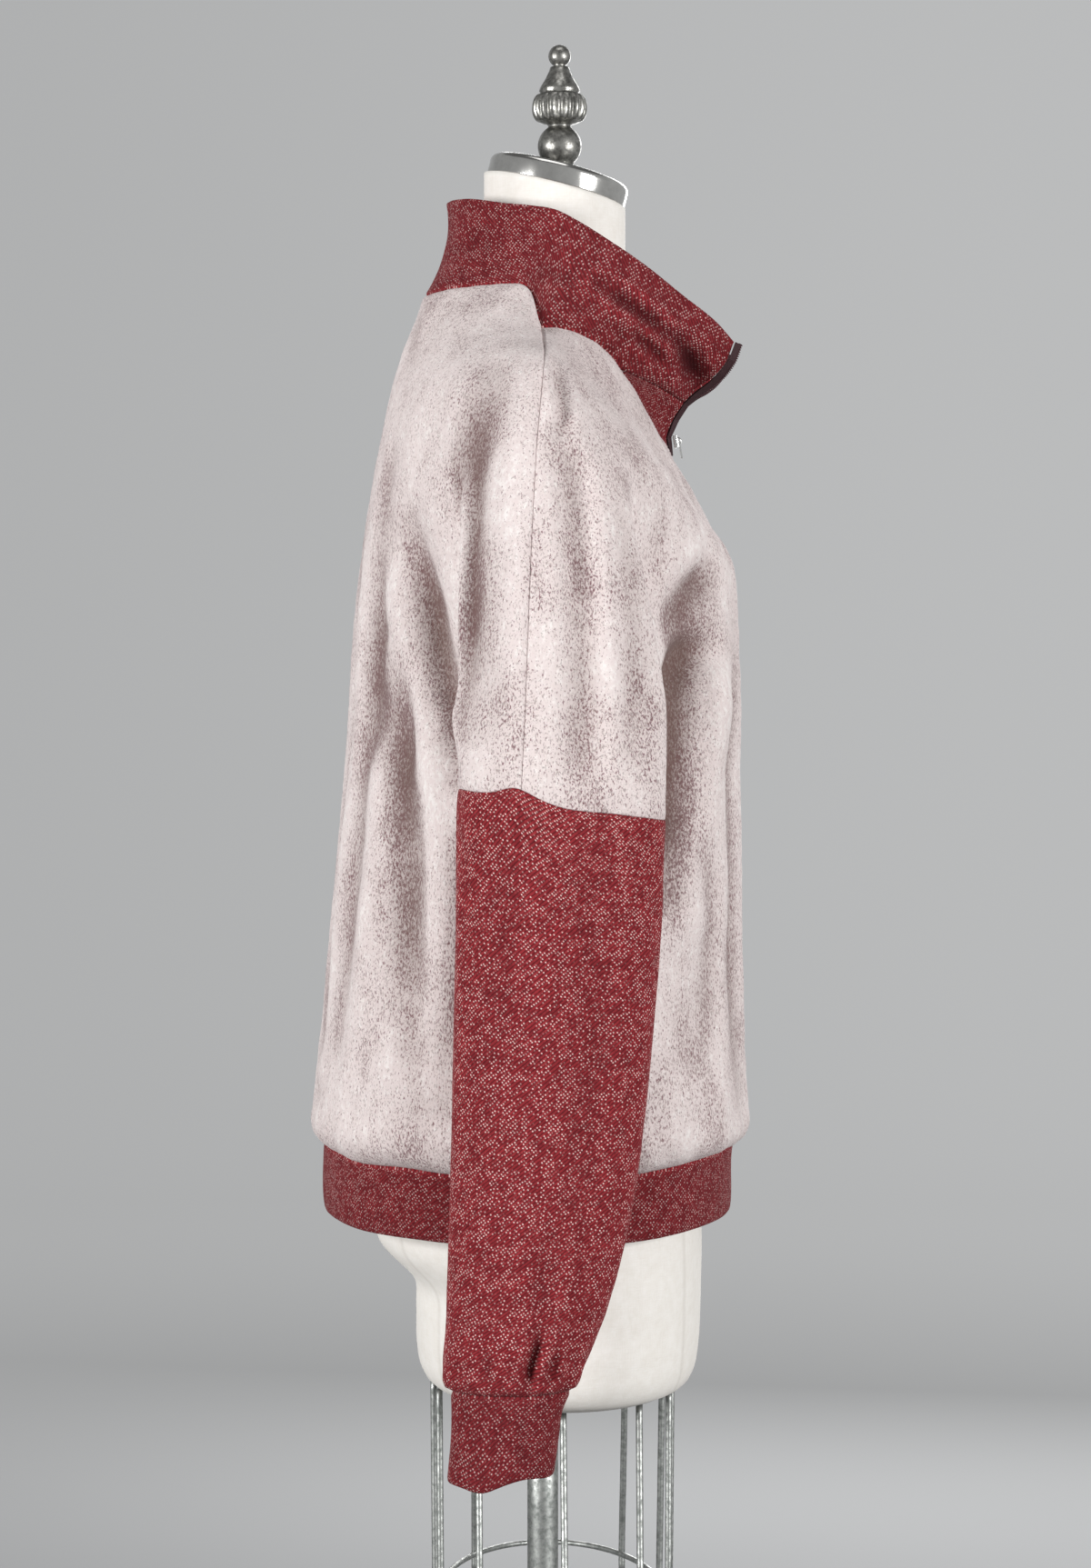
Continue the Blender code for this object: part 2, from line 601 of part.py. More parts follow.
def cloth_patches():
    """Every patch of the garment's outer surface."""
    panels = {half: panel_grids(half) for half in ("front", "back")}
    share_side_lines(panels["front"], panels["back"])
    patches = []
    for half, panel in panels.items():
        for side in ("right", "left"):
            patches += [Patch(f"{half}_panel", grid, side, half == "back") for grid in panel]
    for side in ("right", "left"):
        patches += collar_patches(panels, side)
        patches += sleeve_patches(panels, side)
        patches += hem_patches(panels, side)
    return patches


def collar_patches(panels, side):
    """The collar and the inset of one side, from the neckline's own points."""
    front_line = np.concatenate([panels["front"].inner[0], panels["front"].outer[0][1:]])
    back_line = np.concatenate([panels["back"].inner[0], panels["back"].outer[0][1:]])
    corner = front_line[INSET_COLUMN]
    shares = np.linspace(0, 1, INSET_COLUMN)
    inset_top = np.array([np.array(ZIP_EDGE[0]) * (1 - s) + corner * s for s in shares])
    inset_top[1:-1, 1] -= INSET_SWELL * np.sin(np.pi * shares[1:-1])
    inset_bottom = front_line[1:INSET_COLUMN + 1]
    zip_edge = (tuple(inset_bottom[0]), *INSET_ZIP_EDGE[1:])
    zip_line = smooth_line(zip_edge, np.linspace(0, 1, INSET_ROWS + 1))
    inset = []
    for row, share in enumerate(np.linspace(0, 1, INSET_ROWS + 1)):
        line = inset_bottom * (1 - share) + inset_top * share
        line += (zip_line[row] - line[0]) * (1 - shares)[:, None]
        inset.append(line)
    bottom = np.concatenate([inset_top, front_line[INSET_COLUMN + 1:], back_line[-2::-1]])
    along = lengths(bottom)
    top = smooth_line(COLLAR_TOP, along)
    edge = smooth_line(ZIP_EDGE, np.linspace(0, 1, COLLAR_ROWS + 1))
    backwards = np.clip((along - COLLAR_SWELL_TURN) / COLLAR_SWELL_CHANGE, 0, 1)
    swell = COLLAR_SWELL_FRONT + (COLLAR_SWELL_BACK - COLLAR_SWELL_FRONT) * backwards
    away = bottom - np.array([0.0, NECK_CENTRE_Y, 0.0])
    away[:, 2] = 0
    away /= np.linalg.norm(away, axis=1, keepdims=True)
    collar = []
    for row, share in enumerate(np.linspace(0, 1, COLLAR_ROWS + 1)):
        line = bottom * (1 - share) + top * share + away * (swell * 4 * share * (1 - share))[:, None]
        near = np.clip(1 - along / ZIP_EDGE_REACH, 0, 1)[:, None]
        line += (edge[row] - line[0]) * near**2
        line[-1, 0] = 0.0
        collar.append(line)
    return [
        Patch(f"front_inset_{side}", np.array(inset), side, True),
        Patch("collar", np.array(collar), side, True),
    ]


def sleeve_rings(table, half, falls):
    """A grid of sleeve rings at the given shares of a table's height."""
    levels = table[0].z + (table[-1].z - table[0].z) * falls
    heights = [ring.z for ring in table]
    rings = [table_row(table[::-1], heights[::-1], level) for level in levels]
    shares = np.linspace(0, 1, SLEEVE_COLUMNS + 1)
    return np.array([sleeve_half(ring, half, shares) for ring in rings]), table[0].z - levels


def sleeve_patches(panels, side):
    """The lower sleeve and the cuff of one side, hung from the upper sleeve's last ring."""
    patches = []
    lower_falls = 1 - (1 - np.linspace(0, 1, LOWER_SLEEVE_ROWS + 1)) ** SLEEVE_CROWDING
    for half in ("front", "back"):
        lower, drop = sleeve_rings(LOWER_SLEEVE_RINGS, half, lower_falls)
        lower = settled(lower, panels[half].sleeve[-1], drop)
        cuff, _ = sleeve_rings(CUFF_RINGS, half, np.linspace(0, 1, CUFF_ROWS + 1))
        patches.append(Patch(f"lower_sleeve_{side}", lower, side, half == "back"))
        patches.append(Patch(f"cuff_{side}", cuff, side, half == "back"))
    return patches


def hem_patches(panels, side):
    """The hem band of one side, hung from the body's last ring."""
    patches = []
    heights = [ring.z for ring in HEM_RINGS]
    for half in ("front", "back"):
        levels = np.linspace(heights[0], heights[-1], HEM_ROWS + 1)
        rings = [table_row(HEM_RINGS[::-1], heights[::-1], level) for level in levels]
        grid = np.array([body_quarter(ring, half, side_crowded(BODY_COLUMNS)) for ring in rings])
        grid = settled(grid, panels[half].body[-1], heights[0] - levels)
        patches.append(Patch("hem_band", grid, side, half == "back"))
    return patches


def make_garment(materials):
    """Every cloth piece as its own closed wall, all with the normals of the whole garment."""
    patches = cloth_patches()
    points, faces = welded(patches)
    normals = wall_directions(points, faces)
    lookup = {tuple(key): i for i, key in enumerate(point_keys(points))}
    for piece in dict.fromkeys(patch.piece for patch in patches):
        own_points, own_faces = welded([patch for patch in patches if patch.piece == piece])
        own_normals = normals[[lookup[tuple(key)] for key in point_keys(own_points)]]
        shell = walled(own_points, own_faces, own_normals, WALLS.get(piece, TWILL_WALL))
        cloth = "fleece" if piece.endswith("panel") else "twill"
        mesh_object(piece, *shell, materials[cloth])
    return patches


# --------------------------------------------------------------------------------------------------
# Zip
# --------------------------------------------------------------------------------------------------

def zip_line(patches, side):
    """The edge of the cloth beside the zip, from the neckline to the collar's tip, and the way off it."""
    grids = {patch.piece: patch for patch in patches}
    inset = grids[f"front_inset_{side}"].points.reshape(INSET_ROWS + 1, INSET_COLUMN, 3)
    collars = [patch for patch in patches if patch.piece == "collar"]
    collar = collars[0 if side == "right" else 1].points.reshape(COLLAR_ROWS + 1, -1, 3)
    edge = np.concatenate([inset[:, 0], collar[1:, 0]])
    beside = np.concatenate([inset[:, 1], collar[1:, 1]])
    return edge, beside


def make_zip_tape(patches, side, material):
    """One tape with its coil: a flat strip along the cloth's edge, from the chest to the collar's tip."""
    edge, beside = zip_line(patches, side)
    run = np.gradient(edge, axis=0)
    run /= np.linalg.norm(run, axis=1, keepdims=True)
    off = edge - beside
    off -= run * (off * run).sum(axis=1, keepdims=True)
    off /= np.linalg.norm(off, axis=1, keepdims=True)
    sign = -1.0 if side == "right" else 1.0
    room = np.abs(edge[:, 0]) - SEAM_GAP
    width = np.minimum(TAPE_WIDTH, room / np.maximum(-off[:, 0] * sign, LEAST_TAPE_LEAN) - SEAM_GAP)
    lift = np.cross(run, off)
    lift *= np.sign((lift[:, :2] * (edge[:, :2] - (0.0, NECK_CENTRE_Y))).sum(axis=1))[:, None]
    near = edge + off * SEAM_GAP * 1.5
    far = near + off * width[:, None]
    down = -lift * TAPE_THICKNESS
    ring = np.stack([near, far, far + down, near + down], axis=1)
    ring[..., 0] = sign * np.maximum(ring[..., 0] * sign, SEAM_GAP / 2)
    count = len(ring)
    points = ring.reshape(-1, 3)
    faces = []
    for i in range(count - 1):
        for j in range(4):
            k = (j + 1) % 4
            faces.append([4 * i + j, 4 * i + k, 4 * i + 4 + k, 4 * i + 4 + j])
    faces += [[3, 2, 1, 0], [4 * count - 4, 4 * count - 3, 4 * count - 2, 4 * count - 1]]
    outward(mesh_object(f"zip_tape_{side}", points, faces, material))
    shares = np.linspace(0, 1, SECTIONS_BETWEEN)
    return [low + (high - low) * share for low, high in zip(ring[:-1], ring[1:]) for share in shares]


def local_block(bm, size, centre):
    """A block in a bmesh, in millimetres."""
    scale = Matrix.Diagonal((*(c * MM for c in size), 1.0))
    bmesh.ops.create_cube(bm, size=1.0, matrix=Matrix.Translation(Vector(centre) * MM) @ scale)


def zip_frame(tapes):
    """The slider's place on the tapes: X along the wearer's width, Z up the chest, -Y off the cloth."""
    turn = Matrix.Rotation(-SLIDER_LEAN, 4, "X")
    off = turn.to_3x3() @ Vector((0, -1, 0))
    near = [point for point in tapes if abs(point[2] - SLIDER_Z) < SLIDER_SIZE[1] / 2 + SEAM_GAP]
    centre = Vector((0, min(point[1] for point in near), SLIDER_Z))
    seat = max(off.dot(Vector(point) - centre) for point in near)
    return Matrix.Translation((centre + off * (seat + SEAM_GAP)) * MM) @ turn


def make_slider(frame, material):
    """The slider's body with the bail on its face, made one by a union."""
    width, length, thickness = SLIDER_SIZE
    mesh = bpy.data.meshes.new("zip_slider")
    bm = bmesh.new()
    local_block(bm, (width, thickness, length), (0, -thickness / 2, 0))
    rounding = SLIDER_ROUNDING * MM
    bmesh.ops.bevel(bm, geom=bm.edges[:], offset=rounding, segments=2, affect="EDGES", profile=0.6)
    bm.to_mesh(mesh)
    bm.free()
    body = finished(bpy.data.objects.new("zip_slider", mesh), material)
    face = -thickness
    angles = np.linspace(0, np.pi, 9)
    arch = [(0.0, face - BAIL_RADIUS * math.sin(a), BAIL_RADIUS * math.cos(a)) for a in angles]
    arch = [(0.0, face + BAIL_SUNK, BAIL_RADIUS), *arch, (0.0, face + BAIL_SUNK, -BAIL_RADIUS)]
    curve = bpy.data.curves.new("bail", "CURVE")
    curve.dimensions = "3D"
    curve.bevel_depth = BAIL_WIRE * MM
    curve.bevel_resolution = 1
    curve.use_fill_caps = True
    line = curve.splines.new("POLY")
    line.points.add(len(arch) - 1)
    for point, place in zip(line.points, arch):
        point.co = (*(c * MM for c in place), 1.0)
    wire_object = bpy.data.objects.new("bail_curve", curve)
    bpy.data.collections["helpers"].objects.link(wire_object)
    view = bpy.context.evaluated_depsgraph_get()
    bail_mesh = bpy.data.meshes.new_from_object(wire_object.evaluated_get(view))
    bpy.data.objects.remove(wire_object, do_unlink=True)
    bm = bmesh.new()
    bm.from_mesh(bail_mesh)
    bmesh.ops.remove_doubles(bm, verts=bm.verts, dist=0.01 * MM)
    bmesh.ops.recalc_face_normals(bm, faces=bm.faces)
    bm.to_mesh(bail_mesh)
    bm.free()
    bail = bpy.data.objects.new("bail", bail_mesh)
    bail.hide_render = True
    bail.display_type = "WIRE"
    bpy.data.collections["helpers"].objects.link(bail)
    for thing in (body, bail):
        thing.matrix_world = frame
    union = body.modifiers.new("bail", "BOOLEAN")
    union.operation = "UNION"
    union.object = bail


def make_pull_tab(frame, material):
    """The pull tab: a plate with an eye whose bar turns inside the bail, its origin on the bar's axis."""
    pivot = frame @ Matrix.Translation(Vector((0, -(SLIDER_SIZE[2] + BAR_HEIGHT), 0)) * MM)
    mesh = bpy.data.meshes.new("zip_pull_tab")
    bm = bmesh.new()
    local_block(bm, (TAB_WIDTH, TAB_THICKNESS, TAB_LENGTH), (0, 0, TAB_THICKNESS / 2 - TAB_LENGTH / 2))
    through = [e for e in bm.edges if abs(e.verts[0].co.y - e.verts[1].co.y) > 0.5 * TAB_THICKNESS * MM]
    bmesh.ops.bevel(bm, geom=through, offset=TAB_ROUNDING * MM, segments=2, affect="EDGES", profile=0.5)
    bm.to_mesh(mesh)
    bm.free()
    tab = finished(bpy.data.objects.new("zip_pull_tab", mesh), material)
    eye_mesh = bpy.data.meshes.new("tab_eye")
    bm = bmesh.new()
    top = -TAB_THICKNESS / 2
    local_block(bm, (EYE_WIDTH, 4 * TAB_THICKNESS, EYE_LENGTH), (0, 0, top - EYE_LENGTH / 2))
    bm.to_mesh(eye_mesh)
    bm.free()
    eye = bpy.data.objects.new("tab_eye", eye_mesh)
    eye.hide_render = True
    eye.display_type = "WIRE"
    bpy.data.collections["helpers"].objects.link(eye)
    for thing in (tab, eye):
        thing.matrix_world = pivot
    cut = tab.modifiers.new("eye", "BOOLEAN")
    cut.operation = "DIFFERENCE"
    cut.object = eye


def outward(thing):
    """Turns a closed mesh's faces outwards."""
    bm = bmesh.new()
    bm.from_mesh(thing.data)
    bmesh.ops.recalc_face_normals(bm, faces=bm.faces)
    bm.to_mesh(thing.data)
    bm.free()


# --------------------------------------------------------------------------------------------------
# Form and stand
# --------------------------------------------------------------------------------------------------

def form_loop(ring):
    """One ring of the form: a superellipse with its own depth in front and behind."""
    angle = np.linspace(0, 2 * np.pi, FORM_SEGMENTS, endpoint=False)
    power = 2 / ring.fullness
    across = np.sign(np.sin(angle)) * np.abs(np.sin(angle)) ** power
    along = np.sign(np.cos(angle)) * np.abs(np.cos(angle)) ** power
    reach = np.where(along > 0, ring.side_y - ring.front_y, ring.back_y - ring.side_y)
    level = np.full(len(angle), ring.z)
    return np.stack([across * ring.half_width, ring.side_y - along * reach, level], axis=1)


def make_form(material):
    """The torso and neck as one loft, flat below and cut along the neck cap's slope above."""
    loops = [form_loop(ring) for ring in FORM_RINGS]
    top = form_loop(FORM_RINGS[-1])
    for share in (0.5, 1.0):
        level = FORM_RINGS[-1].z + (NECK_TOP_Z - FORM_RINGS[-1].z) * share
        loop = top.copy()
        loop[:, 2] = level + math.tan(NECK_TILT) * (loop[:, 1] - NECK_CENTRE_Y) * share
        loops.append(loop)
    points = np.concatenate(loops + [loops[0].mean(axis=0)[None], loops[-1].mean(axis=0)[None]])
    faces = []
    for row in range(len(loops) - 1):
        for i in range(FORM_SEGMENTS):
            k = (i + 1) % FORM_SEGMENTS
            low, high = row * FORM_SEGMENTS, (row + 1) * FORM_SEGMENTS
            faces.append([low + i, low + k, high + k, high + i])
    bottom, crown = len(points) - 2, len(points) - 1
    last = (len(loops) - 1) * FORM_SEGMENTS
    for i in range(FORM_SEGMENTS):
        k = (i + 1) % FORM_SEGMENTS
        faces.append([bottom, k, i])
        faces.append([crown, last + i, last + k])
    outward(mesh_object("form_torso", points, faces, material))


def turned(name, profile, steps, place, tilt, material):
    """A solid of revolution: a profile of (radius, height) from the axis above to the axis below."""
    mesh = bpy.data.meshes.new(name)
    points = [(radius * MM, 0.0, height * MM) for radius, height in profile]
    mesh.from_pydata(points, [(i, i + 1) for i in range(len(points) - 1)], [])
    thing = finished(bpy.data.objects.new(name, mesh), material)
    screw = thing.modifiers.new("turn", "SCREW")
    screw.steps = steps
    screw.render_steps = steps
    screw.use_merge_vertices = True
    screw.merge_threshold = 0.00001
    thing.location = tuple(c * MM for c in place)
    thing.rotation_euler = (tilt, 0.0, 0.0)
    return thing


def neck_plane(height):
    """The centre of the cap's underside, raised square to it."""
    return (0.0, NECK_CENTRE_Y - height * math.sin(NECK_TILT), NECK_TOP_Z + height * math.cos(NECK_TILT))


def rounded_edge(radius, height, rounding, count):
    """The profile points of a disc's rounded upper edge."""
    middle = (radius - rounding, height - rounding)
    angles = np.linspace(0, np.pi / 2, count)
    return [(middle[0] + rounding * math.sin(a), middle[1] + rounding * math.cos(a)) for a in angles]


def make_neck_cap(material):
    """The steel cap on the neck, its upper edge rounded, leaning forwards with the neck's cut."""
    top = rounded_edge(CAP_RADIUS, CAP_THICKNESS, CAP_ROUNDING, 6)
    profile = [(0.0, CAP_THICKNESS), *top, (CAP_RADIUS, 0.0), (0.0, 0.0)]
    turned("neck_cap", profile, 36, neck_plane(SEAM_GAP), NECK_TILT, material)


def make_finial(material):
    """The turned finial: a cut ball, a neck, a ribbed bead, a cone and a small ball on top."""
    foot = cap_top_at(FINIAL_Y) - FINIAL_SUNK
    ball = [(math.sqrt(FINIAL_BALL.out**2 - d * d), FINIAL_BALL.z + d) for d in np.linspace(8.5, -14.0, 7)]
    knob = [
        (FINIAL_KNOB.out * math.sin(a), FINIAL_KNOB.z + FINIAL_KNOB.out * math.cos(a))
        for a in np.linspace(0, 0.8 * np.pi, 7)
    ]
    rim = FINIAL_BEAD
    bead = [
        (rim.out + rim.swell * math.sin(a), rim.z + rim.half_height * math.cos(a))
        for a in np.linspace(0.15, np.pi - 0.15, 7)
    ]
    profile = [*knob, *FINIAL_CONE, *bead, *FINIAL_NECK, *ball, (FINIAL_FOOT_RADIUS, foot), (0.0, foot)]
    thing = turned("finial", profile, 22, (0.0, FINIAL_Y, 0.0), 0.0, material)
    cutter = bpy.data.meshes.new("finial_cut")
    bm = bmesh.new()
    bmesh.ops.create_cube(bm, size=FINIAL_CUT_SIZE * MM)
    bm.to_mesh(cutter)
    bm.free()
    block = bpy.data.objects.new("finial_cut", cutter)
    block.hide_render = True
    block.display_type = "WIRE"
    bpy.data.collections["helpers"].objects.link(block)
    centre = neck_plane(SEAM_GAP * 2 + CAP_THICKNESS - FINIAL_CUT_SIZE / 2)
    block.location = tuple(c * MM for c in centre)
    block.rotation_euler = (NECK_TILT, 0.0, 0.0)
    cut = thing.modifiers.new("seat", "BOOLEAN")
    cut.operation = "DIFFERENCE"
    cut.object = block


def cap_top_at(y):
    """The height of the cap's top face at a given y."""
    centre = neck_plane(SEAM_GAP + CAP_THICKNESS)
    return centre[2] + (y - centre[1]) * math.tan(NECK_TILT)


def make_stand(material):
    """The pole from the base to the form, and the round weighted base with a collar for it."""
    pole = [(0.0, FORM_BOTTOM - SEAM_GAP), (POLE_RADIUS, FORM_BOTTOM - SEAM_GAP)]
    pole += [(POLE_RADIUS, BASE_THICKNESS + SEAM_GAP), (0.0, BASE_THICKNESS + SEAM_GAP)]
    turned("pole", pole, 24, (0.0, 0.0, 0.0), 0.0, material)
    edge = rounded_edge(BASE_RADIUS, BASE_THICKNESS, BASE_ROUNDING, 4)
    bore = POLE_RADIUS + SEAM_GAP
    collar = bore + COLLAR_WALL
    base = [(0.0, BASE_THICKNESS), (bore, BASE_THICKNESS), (bore, COLLAR_HEIGHT)]
    base += [(collar - COLLAR_BEVEL, COLLAR_HEIGHT), (collar, COLLAR_HEIGHT - COLLAR_BEVEL)]
    base += [(collar, BASE_THICKNESS), *edge, (BASE_RADIUS, 0.0), (0.0, 0.0)]
    turned("stand_base", base, 40, (0.0, 0.0, 0.0), 0.0, material)


def wire(name, points, radius, closed, material):
    """A round wire along a line of points."""
    curve = bpy.data.curves.new(name, "CURVE")
    curve.dimensions = "3D"
    curve.bevel_depth = radius * MM
    curve.bevel_resolution = 1
    curve.use_fill_caps = True
    line = curve.splines.new("POLY")
    line.points.add(len(points) - 1)
    for point, place in zip(line.points, points):
        point.co = (place[0] * MM, place[1] * MM, place[2] * MM, 1.0)
    line.use_cyclic_u = closed
    finished(bpy.data.objects.new(name, curve), material)


def form_height(x, y):
    """The height of the form's underside above a place near its rounded bottom edge."""
    fills = []
    for ring in FORM_RINGS[:FORM_FOOT_RINGS]:
        reach = ring.side_y - ring.front_y if y < ring.side_y else ring.back_y - ring.side_y
        across, along = abs(x) / ring.half_width, abs(y - ring.side_y) / reach
        fills.append(across**ring.fullness + along**ring.fullness)
    if fills[0] < 1:
        return FORM_RINGS[0].z
    heights = [ring.z for ring in FORM_RINGS[:FORM_FOOT_RINGS]]
    return float(np.interp(-1.0, -np.array(fills), heights))


def make_cage(material):
    """Twelve rods below the form, drawn in a little downwards, and the ring that they are welded to."""
    weld = RING_RADIUS + ROD_RADIUS + SEAM_GAP
    for number, degrees in enumerate(ROD_ANGLES, start=1):
        angle = math.radians(degrees)
        shares = np.array(ROD_BENDS)
        half_y = ROD_TOP_HALF_Y + (RING_HALF_Y + weld - ROD_TOP_HALF_Y) * shares
        half_out = ROD_TOP_HALF_OUT + (RING_HALF_OUT + weld - ROD_TOP_HALF_OUT) * shares
        x = half_out * math.sin(angle)
        y = CAGE_CENTRE_Y - half_y * math.cos(angle)
        reach = math.hypot(x[0], y[0] - CAGE_CENTRE_Y)
        inner = 1 - (ROD_RADIUS + SEAM_GAP) / reach
        top = form_height(x[0] * inner, CAGE_CENTRE_Y + (y[0] - CAGE_CENTRE_Y) * inner) - ROD_TOP_CLEAR
        z = top + (RING_Z - top) * shares
        places = list(zip(x, y, z)) + [(x[-1], y[-1], ROD_END_Z)]
        wire(f"cage_rod_{number:02d}", places, ROD_RADIUS, False, material)
    angles = np.linspace(0, 2 * np.pi, RING_POINTS, endpoint=False)
    ring = [(RING_HALF_OUT * math.sin(a), CAGE_CENTRE_Y - RING_HALF_Y * math.cos(a), RING_Z) for a in angles]
    wire("cage_ring", ring, RING_RADIUS, True, material)


# --------------------------------------------------------------------------------------------------
# Scene
# --------------------------------------------------------------------------------------------------

def finished(thing, material):
    """Gives an object its material and places it in the part's collection."""
    thing.data.materials.append(material)
    bpy.data.collections["half_zip_sweatshirt_on_form"].objects.link(thing)
    return thing


def make_material(name, colour, roughness, metallic):
    """A Principled material."""
    material = bpy.data.materials.new(name)
    material.use_nodes = True
    shader = material.node_tree.nodes["Principled BSDF"]
    shader.inputs["Base Color"].default_value = (*colour, 1.0)
    shader.inputs["Roughness"].default_value = roughness
    shader.inputs["Metallic"].default_value = metallic
    return material


def make_materials():
    """The part's materials."""
    return {
        "fleece": make_material("flecked_fleece", (0.66, 0.58, 0.57), 0.95, 0.0),
        "twill": make_material("burgundy_twill", (0.22, 0.05, 0.06), 0.9, 0.0),
        "tape": make_material("zip_tape", (0.06, 0.015, 0.02), 0.7, 0.0),
        "silver": make_material("zip_metal", (0.75, 0.75, 0.74), 0.25, 1.0),
        "linen": make_material("form_linen", (0.76, 0.72, 0.66), 0.95, 0.0),
        "polished": make_material("polished_steel", (0.62, 0.61, 0.59), 0.12, 1.0),
        "cast": make_material("dark_cast_metal", (0.15, 0.15, 0.14), 0.45, 1.0),
        "steel": make_material("galvanised_steel", (0.33, 0.34, 0.33), 0.5, 1.0),
    }


def main():
    """Builds the whole part."""
    for thing in list(bpy.data.objects):
        bpy.data.objects.remove(thing, do_unlink=True)
    for name in ("half_zip_sweatshirt_on_form", "helpers"):
        collection = bpy.data.collections.new(name)
        bpy.context.scene.collection.children.link(collection)
    materials = make_materials()
    patches = make_garment(materials)
    tapes = [make_zip_tape(patches, side, materials["tape"]) for side in ("right", "left")]
    frame = zip_frame(np.concatenate([section for tape in tapes for section in tape]))
    make_slider(frame, materials["silver"])
    make_pull_tab(frame, materials["silver"])
    make_form(materials["linen"])
    make_neck_cap(materials["polished"])
    make_finial(materials["cast"])
    make_stand(materials["steel"])
    make_cage(materials["steel"])


main()
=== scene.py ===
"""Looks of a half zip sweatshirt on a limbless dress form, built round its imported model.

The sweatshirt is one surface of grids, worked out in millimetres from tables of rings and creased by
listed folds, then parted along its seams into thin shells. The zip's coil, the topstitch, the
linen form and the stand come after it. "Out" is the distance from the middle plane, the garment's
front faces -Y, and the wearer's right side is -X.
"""

from __future__ import annotations

import json
import logging
import math
from dataclasses import dataclass
from enum import Enum
from functools import cache
from typing import NamedTuple, Sequence

import bpy
import numpy as np
from mathutils import Matrix, Vector

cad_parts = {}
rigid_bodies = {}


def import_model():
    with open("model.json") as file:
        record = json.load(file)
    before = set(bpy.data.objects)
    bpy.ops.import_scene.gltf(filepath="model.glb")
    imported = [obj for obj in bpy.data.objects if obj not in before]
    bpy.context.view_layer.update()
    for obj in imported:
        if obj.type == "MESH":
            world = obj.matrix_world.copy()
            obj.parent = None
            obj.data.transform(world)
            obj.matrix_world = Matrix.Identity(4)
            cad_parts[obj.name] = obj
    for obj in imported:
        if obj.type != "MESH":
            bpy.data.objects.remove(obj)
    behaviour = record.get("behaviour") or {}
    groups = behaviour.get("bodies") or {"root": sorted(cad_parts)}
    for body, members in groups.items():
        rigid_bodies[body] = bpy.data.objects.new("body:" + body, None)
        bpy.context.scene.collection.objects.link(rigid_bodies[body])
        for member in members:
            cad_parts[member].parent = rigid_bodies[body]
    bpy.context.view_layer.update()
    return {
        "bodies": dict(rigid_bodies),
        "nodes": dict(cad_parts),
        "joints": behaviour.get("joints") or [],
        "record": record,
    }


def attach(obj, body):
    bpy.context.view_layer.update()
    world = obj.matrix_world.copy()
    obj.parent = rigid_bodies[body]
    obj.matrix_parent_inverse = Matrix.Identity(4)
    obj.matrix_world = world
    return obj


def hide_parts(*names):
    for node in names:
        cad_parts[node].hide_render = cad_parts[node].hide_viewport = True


LOG = logging.getLogger("sweatshirt")
MM = 0.001
GARMENT_BODY = "sweatshirt_on_form"

Array = np.ndarray
Path = Sequence[Sequence[float]]


class Half(Enum):
    """The front or the back of the garment."""

    FRONT = "front"
    BACK = "back"


class Side(Enum):
    """The wearer's right or left, whose value is the sign of X."""

    RIGHT = -1
    LEFT = 1


class View(Enum):
    """The direction from which a crease's path is given, as the way that the cloth faces there."""

    SIDE = "side"
    FRONT = "front"
    BACK = "back"


class Zone(Enum):
    """The stretch of the garment that a crease may reach."""

    TORSO = "torso"
    SLEEVE = "sleeve"
    COLLAR = "collar"


# Materials


def linear(colour: str) -> tuple[float, float, float, float]:
    """Turns an sRGB hex colour into linear red, green, blue and alpha."""
    channels = np.array([int(colour[at : at + 2], 16) for at in (1, 3, 5)]) / 255
    line = np.where(channels <= 0.04045, channels / 12.92, ((channels + 0.055) / 1.055) ** 2.4)
    return (*(float(value) for value in line), 1.0)


def feed(tree: bpy.types.NodeTree, node: bpy.types.Node, links: dict | Sequence) -> None:
    """Sets a node's inputs.

    Args:
        tree: the node's tree.
        node: the node.
        links: for each input, by number, name or identifier, a value or the socket that feeds it.
    """
    for key, value in links.items() if isinstance(links, dict) else enumerate(links):
        if isinstance(key, int):
            socket = node.inputs[key]
        else:
            socket = next(one for one in node.inputs if one.enabled and key in (one.identifier, one.name))
        if isinstance(value, bpy.types.NodeSocket):
            tree.links.new(value, socket)
        else:
            socket.default_value = value


def add_node(
    tree: bpy.types.NodeTree, kind: str, links: dict | Sequence = (), out: int | str = 0, **settings: object
) -> bpy.types.NodeSocket:
    """Adds one node with its settings and its inputs.

    Args:
        tree: the node tree.
        kind: the node's type, without the word that all of them start with.
        links: its inputs, as for feed.
        out: the output to hand back, by number or name.
        **settings: the node's own properties.

    Returns:
        That output.
    """
    node = tree.nodes.new(f"ShaderNode{kind}")
    for name, value in settings.items():
        setattr(node, name, value)
    feed(tree, node, links)
    return node.outputs[out]


SUM = {"operation": "MULTIPLY_ADD"}
BLEND = {"out": "Result", "data_type": "RGBA"}


@dataclass(frozen=True)
class Finish:
    """A finish of the object: its material's name and the record's slot that it belongs to."""

    name: str
    slot: str

    def dress(self, tree: bpy.types.NodeTree) -> dict:
        """Adds the finish's own nodes and gives the shader's inputs, as for feed."""
        raise NotImplementedError

    @cache
    def material(self) -> bpy.types.Material:
        """Makes the material of this finish, once."""
        material = bpy.data.materials.new(self.name)
        material.use_nodes = True
        tree = material.node_tree
        feed(tree, tree.nodes["Principled BSDF"], self.dress(tree))
        return material


